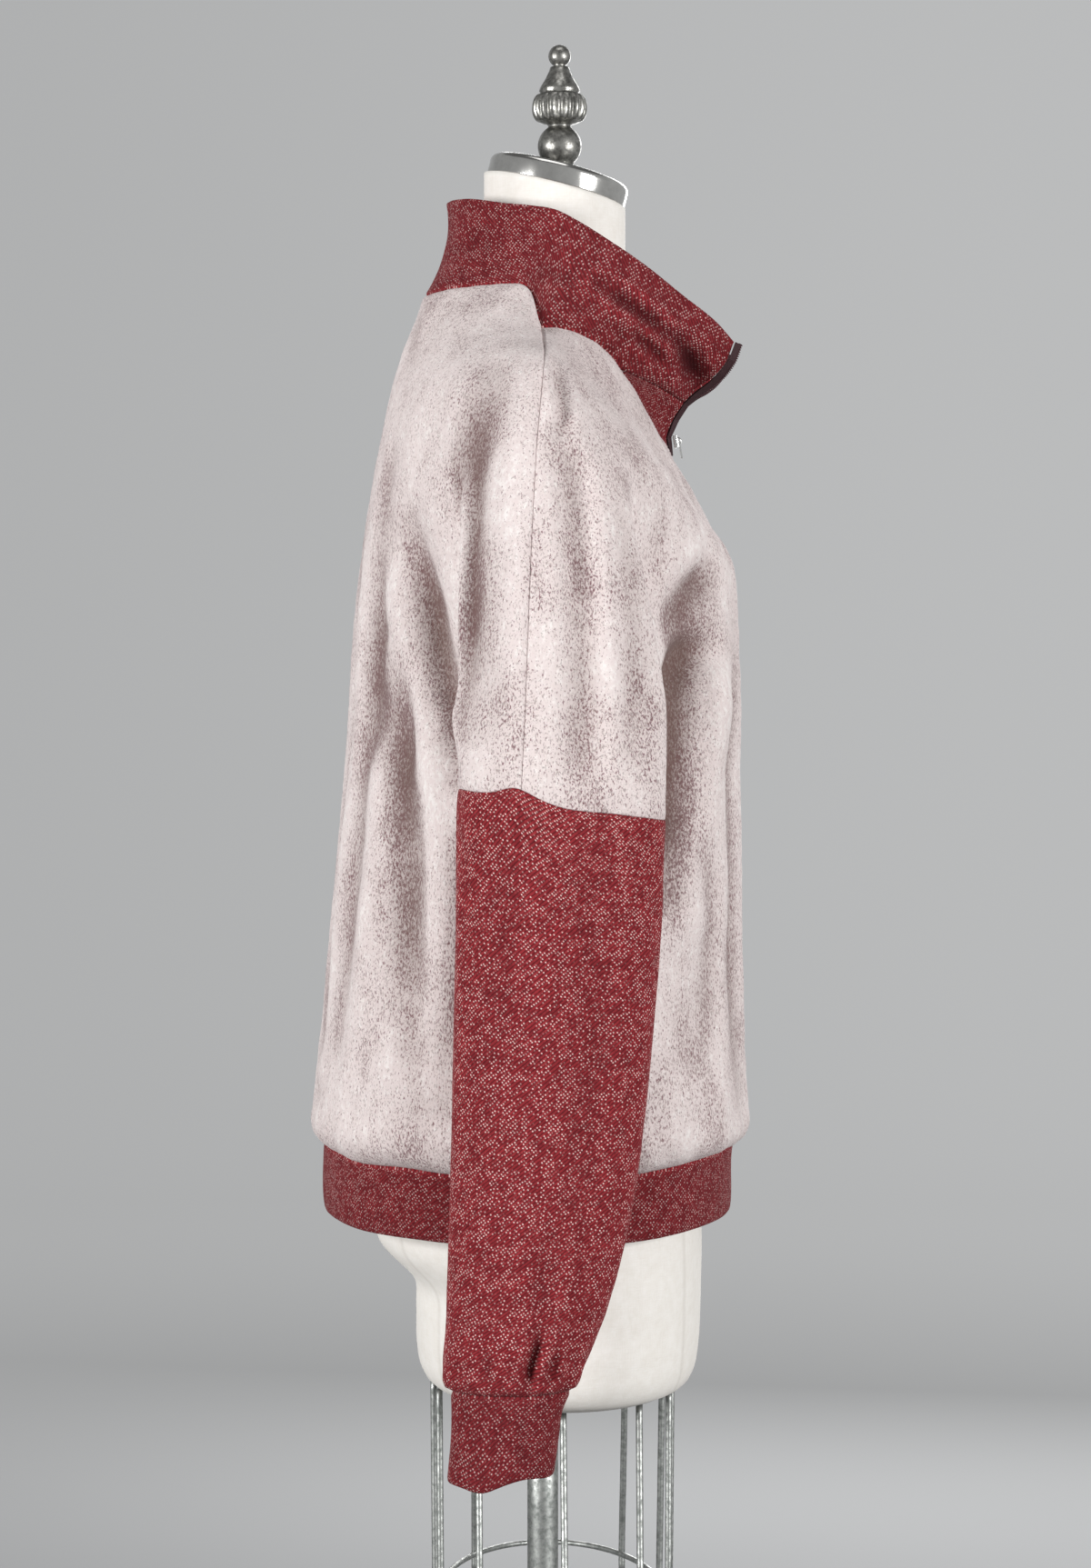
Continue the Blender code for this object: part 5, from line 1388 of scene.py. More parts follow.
@dataclass
class GarmentSheet:
    """The whole garment's surface as one welded sheet, creased, and parted into pieces again."""

    patches: list[Patch]
    weld_mm: float = 1e-3
    seam_sink: float = 0.7
    path_samples: int = 24
    mitre_limit: float = 0.4
    rim_steps: int = 4
    facing_least: float = 0.08
    facing_ease: float = 0.4
    end_depth: float = 0.35
    end_ease: float = 0.3
    sag_half_width: float = 200.0
    sag_from_z: float = 1010.0
    sag_ease: float = 170.0
    hem_wave: float = 58.0
    seam_rise: float = 7.0
    cuff_top_z: float = 652.0
    cuff_ease: float = 30.0
    cuff_curl: float = 5.0
    blouse: float = 2.6
    # Painted shade from the hollow attribute: full where a crease is hollow_depth deep; on crests it falls to
    # -crest_light, painted light
    hollow_depth: float = 11.0
    crest_light: float = 0.35
    # Painted shade added on the collar, cuffs, inset and hem band
    band_painted_shade: float = 0.34

    def __post_init__(self) -> None:
        """Welds the patches, creases the sheet and works out its normals."""
        self.join()
        self.smooth_normals, _ = point_normals(self.points, self.faces)
        self.crease()
        self.normals, lean = point_normals(self.points, self.faces)
        self.directions = self.normals / np.clip(lean, self.mitre_limit, 1)[:, None]

    def join(self) -> None:
        """Makes one sheet of all patches, points at the same place made one."""
        raw = np.concatenate([patch.points.reshape(-1, 3) for patch in self.patches])
        starts = np.cumsum([0] + [patch.points[..., 0].size for patch in self.patches])
        _, first, index = np.unique(
            np.round(raw / self.weld_mm).astype(np.int64), axis=0, return_index=True, return_inverse=True
        )
        index = index.reshape(-1)
        faces, pieces = [], []
        for patch, start in zip(self.patches, starts):
            corners = grid_faces(numbered(*patch.points.shape[:2])) + start
            if patch.turned != (patch.side is Side.RIGHT):
                corners = corners[:, ::-1]
            faces.append(corners)
            pieces += [patch.piece] * len(corners)
        raw_faces = np.concatenate(faces)
        self.points = raw[first]
        self.faces = index[raw_faces]
        self.face_piece = np.array(pieces)
        self.corner_uv = np.concatenate([patch.uv.reshape(-1, 2) for patch in self.patches])[raw_faces]
        self.around = np.concatenate([patch.uv[..., 0].ravel() for patch in self.patches])[first] / MM
        sizes = [patch.points[..., 0].size for patch in self.patches]
        zones = [np.full(size, patch.zone is Zone.SLEEVE, float) for size, patch in zip(sizes, self.patches)]
        sleeve, count = np.zeros(len(first)), np.zeros(len(first))
        np.add.at(sleeve, index, np.concatenate(zones))
        np.add.at(count, index, 1)
        self.sleeve_share = sleeve / count
        collar = [np.full(size, patch.zone is Zone.COLLAR) for size, patch in zip(sizes, self.patches)]
        self.in_collar = np.zeros(len(first), bool)
        np.logical_or.at(self.in_collar, index, np.concatenate(collar))

    def member(self, piece: str) -> Array:
        """Which points of the sheet belong to a piece."""
        found = np.zeros(len(self.points), bool)
        found[self.faces[self.face_piece == piece].ravel()] = True
        return found

    def zone_weight(self, zone: Zone) -> Array:
        """How far each point belongs to a zone, half at the lines where two meet."""
        if zone is Zone.COLLAR:
            return self.in_collar.astype(float)
        torso = np.where(self.in_collar, 0.0, 1 - self.sleeve_share)
        return torso if zone is Zone.TORSO else self.sleeve_share

    def crease_push(self, crease: Crease) -> Array:
        """How far one crease moves each point: a bell-shaped trough with lower ridges beside it.

        The trough's depth is a bell of the distance from the path as it is seen from the crease's view,
        easing in and out at the path's ends and where the cloth turns away from that view.

        Args:
            crease: the crease.

        Returns:
            The move along each point's normal, in millimetres.
        """
        views = {View.SIDE: (crease.side.value, 0, 0), View.FRONT: (0, -1, 0), View.BACK: (0, 1, 0)}
        facing = self.smooth_normals @ np.array(views[crease.view], float)
        facing = eased((facing - self.facing_least) / self.facing_ease)
        weight = facing * self.zone_weight(crease.zone) * (self.points[:, 0] * crease.side.value > -1)
        reached = np.flatnonzero(weight > 0)
        flat = self.points[reached][:, [1, 2] if crease.view is View.SIDE else [0, 2]]
        knots = np.asarray(crease.path, float)
        knots = smooth(shares_along(knots), knots, np.linspace(0, 1, self.path_samples))
        gap, share = np.full(len(reached), np.inf), np.zeros(len(reached))
        along = shares_along(knots)
        for start, end, low, high in zip(knots[:-1], knots[1:], along[:-1], along[1:]):
            step = end - start
            part = np.clip(((flat - start) @ step) / (step @ step), 0, 1)
            reach = np.linalg.norm(flat - start - part[:, None] * step, axis=1)
            nearer = reach < gap
            gap = np.where(nearer, reach, gap)
            share = np.where(nearer, low + part * (high - low), share)
        gap /= crease.half_width
        ends = eased(np.minimum(share, 1 - share) / self.end_ease)
        ends = self.end_depth + (1 - self.end_depth) * ends
        profile = -np.exp(-(gap**2)) + crease.ridge * RIDGE.at(gap)
        push = np.zeros(len(self.points))
        push[reached] = crease.depth * profile * ends * weight[reached]
        return push

    def sag(self) -> Array:
        """How far the sheet drops: the hem at both sides, and the sleeve seam's rise behind the arm.

        The drop grows as the square of the distance from the middle and eases in below the chest. The
        seam's rise is a bell round one place on it.

        Returns:
            The moves along Z, in millimetres.
        """
        out, y, z = np.abs(self.points[:, 0]), self.points[:, 1], self.points[:, 2]
        torso = (1 - self.sleeve_share) * ~self.in_collar
        side = np.clip(out / self.sag_half_width, 0, 1) ** 3
        low = eased((self.sag_from_z - z) / self.sag_ease)
        over_band = OVER_BAND.at(z)
        wave = value_noise(self.points * np.array([1.0, 1.0, 0.0]), self.hem_wave, 9)
        drop = torso * (side * (7.5 * low + 4.0 * over_band) + wave * (1.2 * low + 1.6 * over_band))
        facing = np.clip(np.abs(self.smooth_normals[:, 0]) - 0.3, 0, 1) / 0.7
        rise = SEAM_RISE.at(y) - 0.25 * SEAM_DIP.at(y)
        rise = rise * SEAM_HEIGHT.at(z) * self.sleeve_share * facing
        curl = CUFF_DROP.at(y) - 0.45 * CUFF_LIFT.at(y)
        low_cuff = eased((self.cuff_top_z - z) / self.cuff_ease)
        drop = drop + self.cuff_curl * curl * low_cuff * self.sleeve_share * facing
        return self.seam_rise * rise - drop

    def crease(self) -> None:
        """Moves the sheet's points by the creases, the gathers, a soft unevenness and the seams' dip."""
        self.points[:, 2] += self.sag()
        push = sum(self.crease_push(crease) for crease in CREASES)
        fleece = self.member("front_panel") | self.member("back_panel")
        push += np.where(fleece, self.unevenness(FLEECE_LOFT), self.unevenness(TWILL_LOFT))
        # The hollow attribute: painted shade in hollows, painted light on crests
        hollow = np.clip(-push / self.hollow_depth, -self.crest_light, 1.0)
        for gathers in GATHERS:
            push += gathers.push(self.points, self.around, self.member(gathers.piece))
        border = np.zeros(len(self.points), bool)
        for piece in np.unique(self.face_piece):
            edges, _ = self.rim_edges(self.faces[self.face_piece == piece])
            border[edges.ravel()] = True
        push[border] -= self.seam_sink
        push += self.blouse * BLOUSE.at(self.points[:, 2]) * fleece
        self.points = self.points + self.smooth_normals * push[:, None]
        # Painted shade: these pieces darken by a set amount, besides their hollows
        shaded_band = np.any([self.member(piece) for piece in PAINTED_SHADE_PIECES], axis=0)
        self.hollow = hollow + self.band_painted_shade * shaded_band * ~fleece

    def unevenness(self, layers: Sequence[tuple[float, float, float, int]]) -> Array:
        """Adds up noises over the points.

        Args:
            layers: for each, its height, its wavelength, how little it changes along Z and its seed.

        Returns:
            The height at each point, in millimetres.
        """
        noises = (
            height * value_noise(self.points * np.array([1.0, 1.0, upright]), wave, seed)
            for height, wave, upright, seed in layers
        )
        return sum(noises)

    @staticmethod
    def rim_edges(faces: Array) -> tuple[Array, Array]:
        """The open edges of some faces, in the direction in which their face runs.

        Args:
            faces: the faces.

        Returns:
            The edges, and the number of the face that each belongs to.
        """
        edges = np.concatenate([faces[:, [i, (i + 1) % 4]] for i in range(4)])
        owner = np.tile(np.arange(len(faces)), 4)
        real = edges[:, 0] != edges[:, 1]
        edges, owner = edges[real], owner[real]
        low, high = edges.min(axis=1).astype(np.int64), edges.max(axis=1).astype(np.int64)
        _, index, count = np.unique(low * (faces.max() + 1) + high, return_inverse=True, return_counts=True)
        single = count[index] == 1
        return edges[single], owner[single]

    def way_back(self, faces: Array) -> Array:
        """For each point on an open edge, the unit way back into the piece."""
        edges, owner = self.rim_edges(faces)
        run = self.points[edges[:, 1]] - self.points[edges[:, 0]]
        inward = np.cross(self.normals[edges[:, 0]] + self.normals[edges[:, 1]], run)
        inward /= np.maximum(np.linalg.norm(inward, axis=1, keepdims=True), 1e-12)
        centre = self.points[faces[owner]].mean(axis=1) - self.points[edges].mean(axis=1)
        inward *= np.sign((inward * centre).sum(axis=1))[:, None]
        back = np.zeros_like(self.points)
        for end in (0, 1):
            np.add.at(back, edges[:, end], inward)
        size = np.linalg.norm(back, axis=1, keepdims=True)
        return back / np.where(size == 0, 1, size)

    def shell(
        self, piece: str, wall: float, rounding: float
    ) -> tuple[tuple[Array, Array], Array, Array, float]:
        """One piece as a closed wall: its sheet, a second one inside it and a half-round rim.

        A rim point lies on a half circle from the outer sheet to the inner one, squashed to the rounding
        on the side away from the piece.

        Args:
            piece: the piece's name.
            wall: its thickness.
            rounding: how far its rim bulges.

        Returns:
            The points and faces, the UV of each corner, each point's hollow (its painted shade) and the
            sheet's area.
        """
        faces = self.faces[self.face_piece == piece]
        uv = self.corner_uv[self.face_piece == piece]
        back = self.way_back(faces)
        used, local = np.unique(faces, return_inverse=True)
        local = local.reshape(faces.shape)
        outer = self.points[used] + back[used] * rounding
        inner = outer - self.directions[used] * wall
        count = len(used)
        edges, owner = self.rim_edges(local)
        rim_points, rim = np.unique(edges, return_inverse=True)
        rim = rim.reshape(edges.shape)
        layers, first = [outer, inner], 2 * count
        starts = [rim_points]
        for step in range(1, self.rim_steps):
            turn = math.pi * step / self.rim_steps
            middle = (outer[rim_points] + inner[rim_points]) / 2
            reach = (outer[rim_points] - inner[rim_points]) / 2
            bulge = -back[used][rim_points] * rounding * math.sin(turn)
            layers.append(middle + reach * math.cos(turn) + bulge)
            starts.append(first + np.arange(len(rim_points)))
            first += len(rim_points)
        starts.append(rim_points + count)
        corners = [local, local[:, ::-1] + count]
        corner_uv = [uv, uv[:, ::-1]]
        edge_uv = np.zeros((len(edges), 2, 2))
        for end in (0, 1):
            at = (local[owner] == edges[:, end][:, None]).argmax(axis=1)
            edge_uv[:, end] = uv[owner, at]
        for upper, lower in zip(starts[:-1], starts[1:]):
            a, b = rim[:, 0], rim[:, 1]
            corners.append(np.stack([upper[b], upper[a], lower[a], lower[b]], axis=1))
            corner_uv.append(np.stack([edge_uv[:, 1], edge_uv[:, 0], edge_uv[:, 0], edge_uv[:, 1]], axis=1))
        hollow = self.hollow[used]
        hollow = np.concatenate([hollow] * 2 + [hollow[rim_points]] * (self.rim_steps - 1))
        corner = outer[local]
        crossed = np.cross(corner[:, 2] - corner[:, 0], corner[:, 3] - corner[:, 1])
        area = np.linalg.norm(crossed, axis=1).sum() / 2
        shape = (np.concatenate(layers), np.concatenate(corners))
        return shape, np.concatenate(corner_uv), hollow, area * MM * MM


class ClothPiece(NamedTuple):
    """A sewn piece: its solid's name, finish, wall, rim rounding, the size of its cut and its area."""

    node: str
    finish: Finish
    wall: float
    rounding: float
    flat: tuple[float, float]
    area: float | None


@dataclass
class Sweatshirt:
    """The sewn pieces of the garment."""

    pieces: tuple[ClothPiece, ...] = (
        ClothPiece("front_panel", FLEECE, 2.4, 0.9, (0.92, 0.62), 0.38),
        ClothPiece("back_panel", FLEECE, 2.4, 0.9, (0.92, 0.64), 0.37),
        ClothPiece("front_inset_right", TWILL, 2.0, 0.6, (0.09, 0.042), 0.00138),
        ClothPiece("front_inset_left", TWILL, 2.0, 0.6, (0.09, 0.042), 0.00138),
        ClothPiece("collar", TWILL, 3.0, 1.2, (0.62, 0.09), 0.037),
        ClothPiece("lower_sleeve_right", TWILL, 2.0, 0.8, (0.37, 0.395), 0.121),
        ClothPiece("lower_sleeve_left", TWILL, 2.0, 0.8, (0.37, 0.395), 0.121),
        ClothPiece("cuff_right", TWILL, 3.0, 1.2, (0.21, 0.055), None),
        ClothPiece("cuff_left", TWILL, 3.0, 1.2, (0.21, 0.055), None),
        ClothPiece("hem_band", TWILL, 3.0, 1.3, (1.03, 0.049), None),
    )

    def build(self, sheet: GarmentSheet) -> None:
        for piece in self.pieces:
            shape, uv, hollow, area = sheet.shell(piece.node, piece.wall, piece.rounding)
            # The hollow attribute carries the painted shade to the cloth's material
            cloth = mesh_piece(f"{piece.node}_cloth", shape, piece.finish, piece.node, uv, {"hollow": hollow})
            LOG.info("%s: %.4f square metres of cloth", piece.node, area)


# Form and stand


class FormRing(NamedTuple):
    """A ring of the form: a superellipse with its own depth in front and behind."""

    z: float
    half_width: float
    front_y: float
    back_y: float
    side_y: float
    fullness: float


FORM_RINGS = (
    FormRing(634.0, 128, -92, 70, -8, 2.1),
    FormRing(638.5, 143, -101, 80, -8, 2.1),
    FormRing(647.0, 152, -107, 86.5, -8, 2.1),
    FormRing(664.0, 158, -110.5, 90, -7, 2.1),
    FormRing(690.0, 161, -112, 90.5, -6, 2.1),
    FormRing(712.0, 165, -112.5, 92.5, -4, 2.1),
    FormRing(738.0, 168, -113, 117, 0, 2.1),
    FormRing(765.0, 170, -112, 120, 2, 2.1),
    FormRing(800.0, 171, -108, 119, 3, 2.1),
    FormRing(850.0, 168, -101, 115, 3, 2.1),
    FormRing(905.0, 158, -95, 103, 2, 2.1),
    FormRing(960.0, 141, -90, 88, 0, 2.1),
    FormRing(1010.0, 127, -89, 78, -2, 2.1),
    FormRing(1060.0, 130, -95, 82, -2, 2.1),
    FormRing(1110.0, 139, -108, 93, -2, 2.1),
    FormRing(1160.0, 152, -123, 104, -2, 2.1),
    FormRing(1202.0, 162, -130, 111, 0, 2.1),
    FormRing(1240.0, 168, -112, 111, 2, 2.0),
    FormRing(1275.0, 173, -91, 107, 4, 1.85),
    FormRing(1305.0, 177, -77, 100, 5, 1.7),
    FormRing(1325.0, 179, -68, 93, 5, 1.6),
    FormRing(1338.0, 178, -63, 86, 5, 1.5),
    FormRing(1348.3, 167, -57.5, 80, 5, 1.42),
    FormRing(1360.3, 145.5, -55.5, 73, 4, 1.36),
    FormRing(1374.0, 104, -56.5, 65, 3, 1.45),
    FormRing(1388.0, 70, -57, 57, -4, 1.8),
    FormRing(1405.0, 56, -58, 50, -7, 2.0),
    FormRing(1430.0, 50.5, -59, 42, -9, 2.0),
)


def closed_loft(rings: Array) -> tuple[Array, Array]:
    """Joins closed rings of equal count into a tube and closes both ends with rings drawn to a point.

    Args:
        rings: rows x points x 3, from the bottom up, each anticlockwise seen from above.

    Returns:
        The points and four-sided faces, the ends' points being very small rings.
    """
    ends = [rings[at].mean(axis=0) + (rings[at] - rings[at].mean(axis=0)) * 1e-4 for at in (0, -1)]
    rings = np.concatenate([ends[0][None], rings, ends[1][None]])
    return rings.reshape(-1, 3), grid_faces(numbered(*rings.shape[:2]), closed=True)[:, [0, 3, 2, 1]]


def turned_rings(profile: Array, columns: int) -> Array:
    """The rings of a profile of (radius, height), from the bottom up, turned about the upright axis."""
    angle = np.linspace(0, 2 * np.pi, columns, endpoint=False)
    circle = np.stack([np.cos(angle), np.sin(angle)], axis=1)
    flat = profile[:, None, :1] * circle[None]
    return np.concatenate([flat, np.broadcast_to(profile[:, None, 1:], (*flat.shape[:2], 1))], axis=2)


def tube_rings(path: Array, radius: float, columns: int) -> Array:
    """The rings of a round wire: circles square to a path that never runs along X.

    Args:
        path: the points of the wire's middle line.
        radius: the wire's radius.
        columns: the points of each ring.

    Returns:
        The rings, points x columns x 3.
    """
    run = np.gradient(path, axis=0)
    run /= np.linalg.norm(run, axis=1, keepdims=True)
    across = np.cross(run, np.array([1.0, 0.13, 0.0]))
    across /= np.linalg.norm(across, axis=1, keepdims=True)
    up = np.cross(run, across)
    angle = np.linspace(0, 2 * np.pi, columns, endpoint=False)[None, :, None]
    return path[:, None] + radius * (np.cos(angle) * across[:, None] + np.sin(angle) * up[:, None])


@dataclass
class Trim:
    """The small sewn and moulded work: the zip's coil and the topstitch under the front neckline."""

    tooth_pitch: float = 1.6
    tooth_half: tuple[float, float, float] = (0.55, 1.3, 1.0)
    tooth_back: float = 0.4
    stitch_pitch: float = 3.4
    stitch_half: tuple[float, float, float] = (1.25, 0.36, 0.36)
    stitch_inset: float = 5.0
    columns: int = 8

    def beads(self, centres: Array, along: Array, out: Array, half: Sequence[float]) -> tuple[Array, Array]:
        """Ellipsoids at many places, one axis along a line and one pointing out of it.

        A bead's point is its centre plus the unit sphere's point scaled by the half sizes and turned into
        the three axes along, out and their cross product.

        Args:
            centres: the middle of each.
            along: the unit way along the line at each.
            out: the unit way out of the line at each.
            half: the half sizes along, out and across.

        Returns:
            The points and faces of all of them.
        """
        height = np.linspace(-0.96, 0.96, self.columns - 3)
        profile = np.stack([np.sqrt(1 - height**2), height], axis=1)
        ball, faces = closed_loft(turned_rings(profile, self.columns))
        frame = np.stack([along, out, np.cross(along, out)], axis=1)
        points = centres[:, None] + (ball * half) @ frame
        starts = np.arange(len(centres))[:, None, None] * len(ball)
        return points.reshape(-1, 3), (faces[None] + starts).reshape(-1, 4)

    def build_coil(self, side: Side) -> None:
        """Makes the teeth of one side's coil, from the slider to the collar's tip."""
        mirror = np.array([side.value, 1, 1])
        free, sewn = np.array(TAPE_FREE_EDGE) * mirror, np.array(TAPE_SEWN_EDGE) * mirror
        length = np.linalg.norm(np.diff(free, axis=0), axis=1).sum()
        share = np.linspace(0.01, 0.99, int(length / self.tooth_pitch))
        edge = smooth(shares_along(free), free, share)
        out = edge - smooth(shares_along(free), sewn, share)
        along = np.gradient(edge, axis=0)
        along /= np.linalg.norm(along, axis=1, keepdims=True)
        out -= along * (out * along).sum(axis=1, keepdims=True)
        out /= np.linalg.norm(out, axis=1, keepdims=True)
        teeth = self.beads(edge - out * self.tooth_back, along, out, self.tooth_half)
        mesh_piece(f"zip_coil_{side.name.lower()}", teeth, ZIP_COIL)

    def build_topstitch(self, sheet: GarmentSheet, side: Side) -> None:
        """Sews one side of the front neckline: a row of stitches a little inside the front panel's edge.

        Each stitch is moved along the nearest point's normal until it lies in that point's plane.

        Args:
            sheet: the creased garment.
            side: the wearer's side.
        """
        back = sheet.way_back(sheet.faces[sheet.face_piece == "front_panel"])
        neck = sheet.member("collar") | sheet.member("front_inset_right") | sheet.member("front_inset_left")
        seam = np.flatnonzero(sheet.member("front_panel") & neck & (sheet.points[:, 0] * side.value > 1))
        seam = seam[np.argsort(sheet.points[seam, 1])]
        line = sheet.points[seam] + back[seam] * self.stitch_inset
        length = np.linalg.norm(np.diff(line, axis=0), axis=1).sum()
        line = resampled(line[None], np.linspace(0.02, 0.98, int(length / self.stitch_pitch)))[0]
        panel = np.flatnonzero(sheet.member("front_panel"))
        near = panel[np.linalg.norm(sheet.points[panel][None] - line[:, None], axis=2).argmin(axis=1)]
        normal = sheet.normals[near]
        line = line - normal * ((line - sheet.points[near]) * normal).sum(axis=1, keepdims=True)
        along = np.gradient(line, axis=0)
        along -= normal * (along * normal).sum(axis=1, keepdims=True)
        along /= np.linalg.norm(along, axis=1, keepdims=True)
        stitches = self.beads(line, along, normal, self.stitch_half)
        mesh_piece(f"neckline_topstitch_{side.name.lower()}", stitches, PALE_THREAD)


@dataclass
class DressForm:
    """The linen torso and neck of the form, whole and smooth, with its seams."""

    columns: int = 192
    ring_step: float = 4.0
    neck_rings: int = 14
    neck_top_z: float = 1484.5
    neck_centre_y: float = -9.0
    neck_tilt: float = math.radians(14.3)
    seam_angles: tuple[float, ...] = (0.0, 34.0, 90.0, 146.0, 180.0, 214.0, 270.0, 326.0)
    seam_depth: float = 0.2
    seam_half_width: float = 1.2
    seam_half_degrees: float = 0.9
    seam_top_z: float = 1400.0
    seam_shade: float = 0.22
    tape_z: float = 640.0
    tape_strength: float = 1.2

    def build(self) -> None:
        """Lofts the form: superellipse rings up to the neck, then rings tilted with the neck's cut."""
        heights = np.array([ring.z for ring in FORM_RINGS])
        steps = np.arange(heights[0], heights[-1], self.ring_step)
        levels = np.unique(np.concatenate([steps, [heights[-1]], heights[:3]]))
        ring = rows_at(FORM_RINGS, heights, levels)
        angle = np.linspace(0, 2 * np.pi, self.columns, endpoint=False)[None]
        power = 2 / ring.fullness
        across = np.sign(np.sin(angle)) * np.abs(np.sin(angle)) ** power
        along = np.sign(np.cos(angle)) * np.abs(np.cos(angle)) ** power
        reach = np.where(along > 0, ring.side_y - ring.front_y, ring.back_y - ring.side_y)
        level = np.broadcast_to(ring.z, across.shape)
        rings = np.stack([across * ring.half_width, ring.side_y - along * reach, level], axis=-1)
        neck = []
        for share in np.linspace(0, 1, self.neck_rings + 1)[1:]:
            loop = rings[-1].copy()
            level = heights[-1] + (self.neck_top_z - heights[-1]) * share
            loop[:, 2] = level + math.tan(self.neck_tilt) * (loop[:, 1] - self.neck_centre_y) * share
            neck.append(loop)
        rings = np.concatenate([rings, np.array(neck)])
        seam = self.seam_mask(rings)
        centre = rings.mean(axis=1, keepdims=True)
        away = rings - centre
        away[..., 2] = 0
        away /= np.linalg.norm(away, axis=2, keepdims=True)
        rings -= away * (seam * self.seam_depth)[..., None]
        line = np.concatenate([np.zeros(self.columns), seam.ravel(), np.zeros(self.columns)])
        shade = {"seam": line * self.seam_shade}
        mesh_piece("form_linen", closed_loft(rings), LINEN, "form_torso", attributes=shade)

    def seam_mask(self, rings: Array) -> Array:
        """How near each point lies to a seam: the upright ones, and the taped one near the lower edge."""
        index = np.arange(self.columns) * 360.0 / self.columns
        mask = np.zeros(rings.shape[:2])
        for angle in self.seam_angles:
            turn = np.abs((index - angle + 180) % 360 - 180)
            line = np.exp(-((turn / self.seam_half_degrees) ** 2))[None]
            mask = np.maximum(mask, line * (rings[..., 2] < self.seam_top_z))
        lower = np.exp(-(((rings[..., 2] - self.tape_z) / self.seam_half_width) ** 2))
        return np.maximum(mask, lower * self.tape_strength)


@dataclass
class Stand:
    """The neck cap, the finial, the pole, the base and the wire cage."""

    neck_centre_y: float = -9.0
    neck_top_z: float = 1484.5
    neck_tilt: float = math.radians(14.3)
    gap: float = 0.3
    cap_radius: float = 50.5
    cap_thickness: float = 15.0
    cap_rounding: float = 4.6
    finial_y: float = -12.0
    finial_ribs: int = 18
    finial_columns: int = 216
    bead_z: float = 1544.2
    belt_half: float = 8.6
    rib_depth: float = 0.11
    pole_radius: float = 11.0
    base_radius: float = 205.0
    base_thickness: float = 12.0
    form_bottom: float = 634.0
    rod_radius: float = 2.4
    ring_radius: float = 2.0
    ring_z: float = 485.0
    ring_half_y: float = 79.0
    ring_half_out: float = 160.0
    ring_grid: tuple[int, int] = (144, 16)
    cage_centre_y: float = -7.0
    rod_angles: tuple[float, ...] = (0, 18, 48, 88, 130, 163, 180, 197, 230, 272, 312, 342)
    rod_top_half_y: float = 85.0
    rod_top_half_out: float = 121.0
    rod_top_clear: float = 1.1
    rod_end_z: float = 470.0
    rod_bends: tuple[float, ...] = (0.0, 0.3, 0.65, 1.0)

    def place_on_neck(self, rings: Array) -> Array:
        """Moves rings about the upright axis onto the neck's slanting top, raised square to it."""
        moved = rings @ np.array(Matrix.Rotation(self.neck_tilt, 3, "X")).T
        up = self.gap
        back, rise = up * math.sin(self.neck_tilt), up * math.cos(self.neck_tilt)
        return moved + np.array([0.0, self.neck_centre_y - back, self.neck_top_z + rise])

    def rounded(self, radius: float, height: float, rounding: float, lip: float = 0.6) -> Array:
        """A disc's profile with a round upper edge and a fine round lower one, from the bottom up."""
        low, high = np.linspace(0, np.pi / 2, 5), np.linspace(0, np.pi / 2, 12)
        inner, below = radius - rounding, height - rounding
        foot = np.stack([radius - lip + lip * np.sin(low), lip - lip * np.cos(low)], axis=1)
        top = np.stack([inner + rounding * np.cos(high), below + rounding * np.sin(high)], axis=1)
        return np.concatenate([[[radius * 0.5, 0.0]], foot, top, [[radius * 0.5, height]]])

    def build_cap(self) -> None:
        """Turns the cap and lays it on the neck's slanting cut."""
        rings = turned_rings(self.rounded(self.cap_radius, self.cap_thickness, self.cap_rounding), 128)
        mesh_piece("neck_cap_steel", closed_loft(self.place_on_neck(rings)), POLISHED, "neck_cap")

    def finial_profile(self) -> Array:
        """The finial's profile from the foot up: ball, waist, bead, cone and knob."""
        foot = self.neck_top_z + self.cap_thickness - 2.0
        ball = np.linspace(-math.pi / 2 + 0.35, 1.0, 18)
        bead = np.linspace(-math.pi / 2 + 0.1, math.pi / 2 - 0.1, 16)
        knob = np.linspace(-1.05, math.pi / 2 - 0.05, 14)
        parts = [
            [(8.2, foot), (9.2, foot + 1.4), (9.0, foot + 2.6)],
            np.stack([15.6 * np.cos(ball), 1516.9 + 15.6 * np.sin(ball)], axis=1)[3:],
            [(8.0, 1531.4), (9.4, 1532.6), (11.8, 1533.2), (12.9, 1534.0)],
            np.stack([14.5 + 5.4 * np.cos(bead), self.bead_z + 9.8 * np.sin(bead)], axis=1),
            [(13.4, 1554.8), (14.6, 1556.2), (14.0, 1558.6), (12.2, 1561.6)],
            [(9.6, 1566.0), (7.6, 1570.4), (6.6, 1573.4)],
            np.stack([8.0 * np.cos(knob), 1581.4 + 8.0 * np.sin(knob)], axis=1),
        ]
        return np.concatenate([np.asarray(part, float) for part in parts])

    def build_finial(self) -> None:
        """Turns the finial and cuts upright ribs round its bead, as deep as a cosine of the angle."""
        profile = self.finial_profile()
        rings = turned_rings(profile, self.finial_columns)
        angle = np.linspace(0, 2 * np.pi, self.finial_columns, endpoint=False)
        belt = np.exp(-(((profile[:, 1] - self.bead_z) / self.belt_half) ** 4))[:, None]
        cut = 1 - np.abs(np.cos(self.finial_ribs * angle / 2))
        rings[..., :2] *= (1 - belt * self.rib_depth * cut[None])[..., None]
        rings[..., 1] += self.finial_y
        mesh_piece("finial_cast", closed_loft(rings), CAST, "finial")

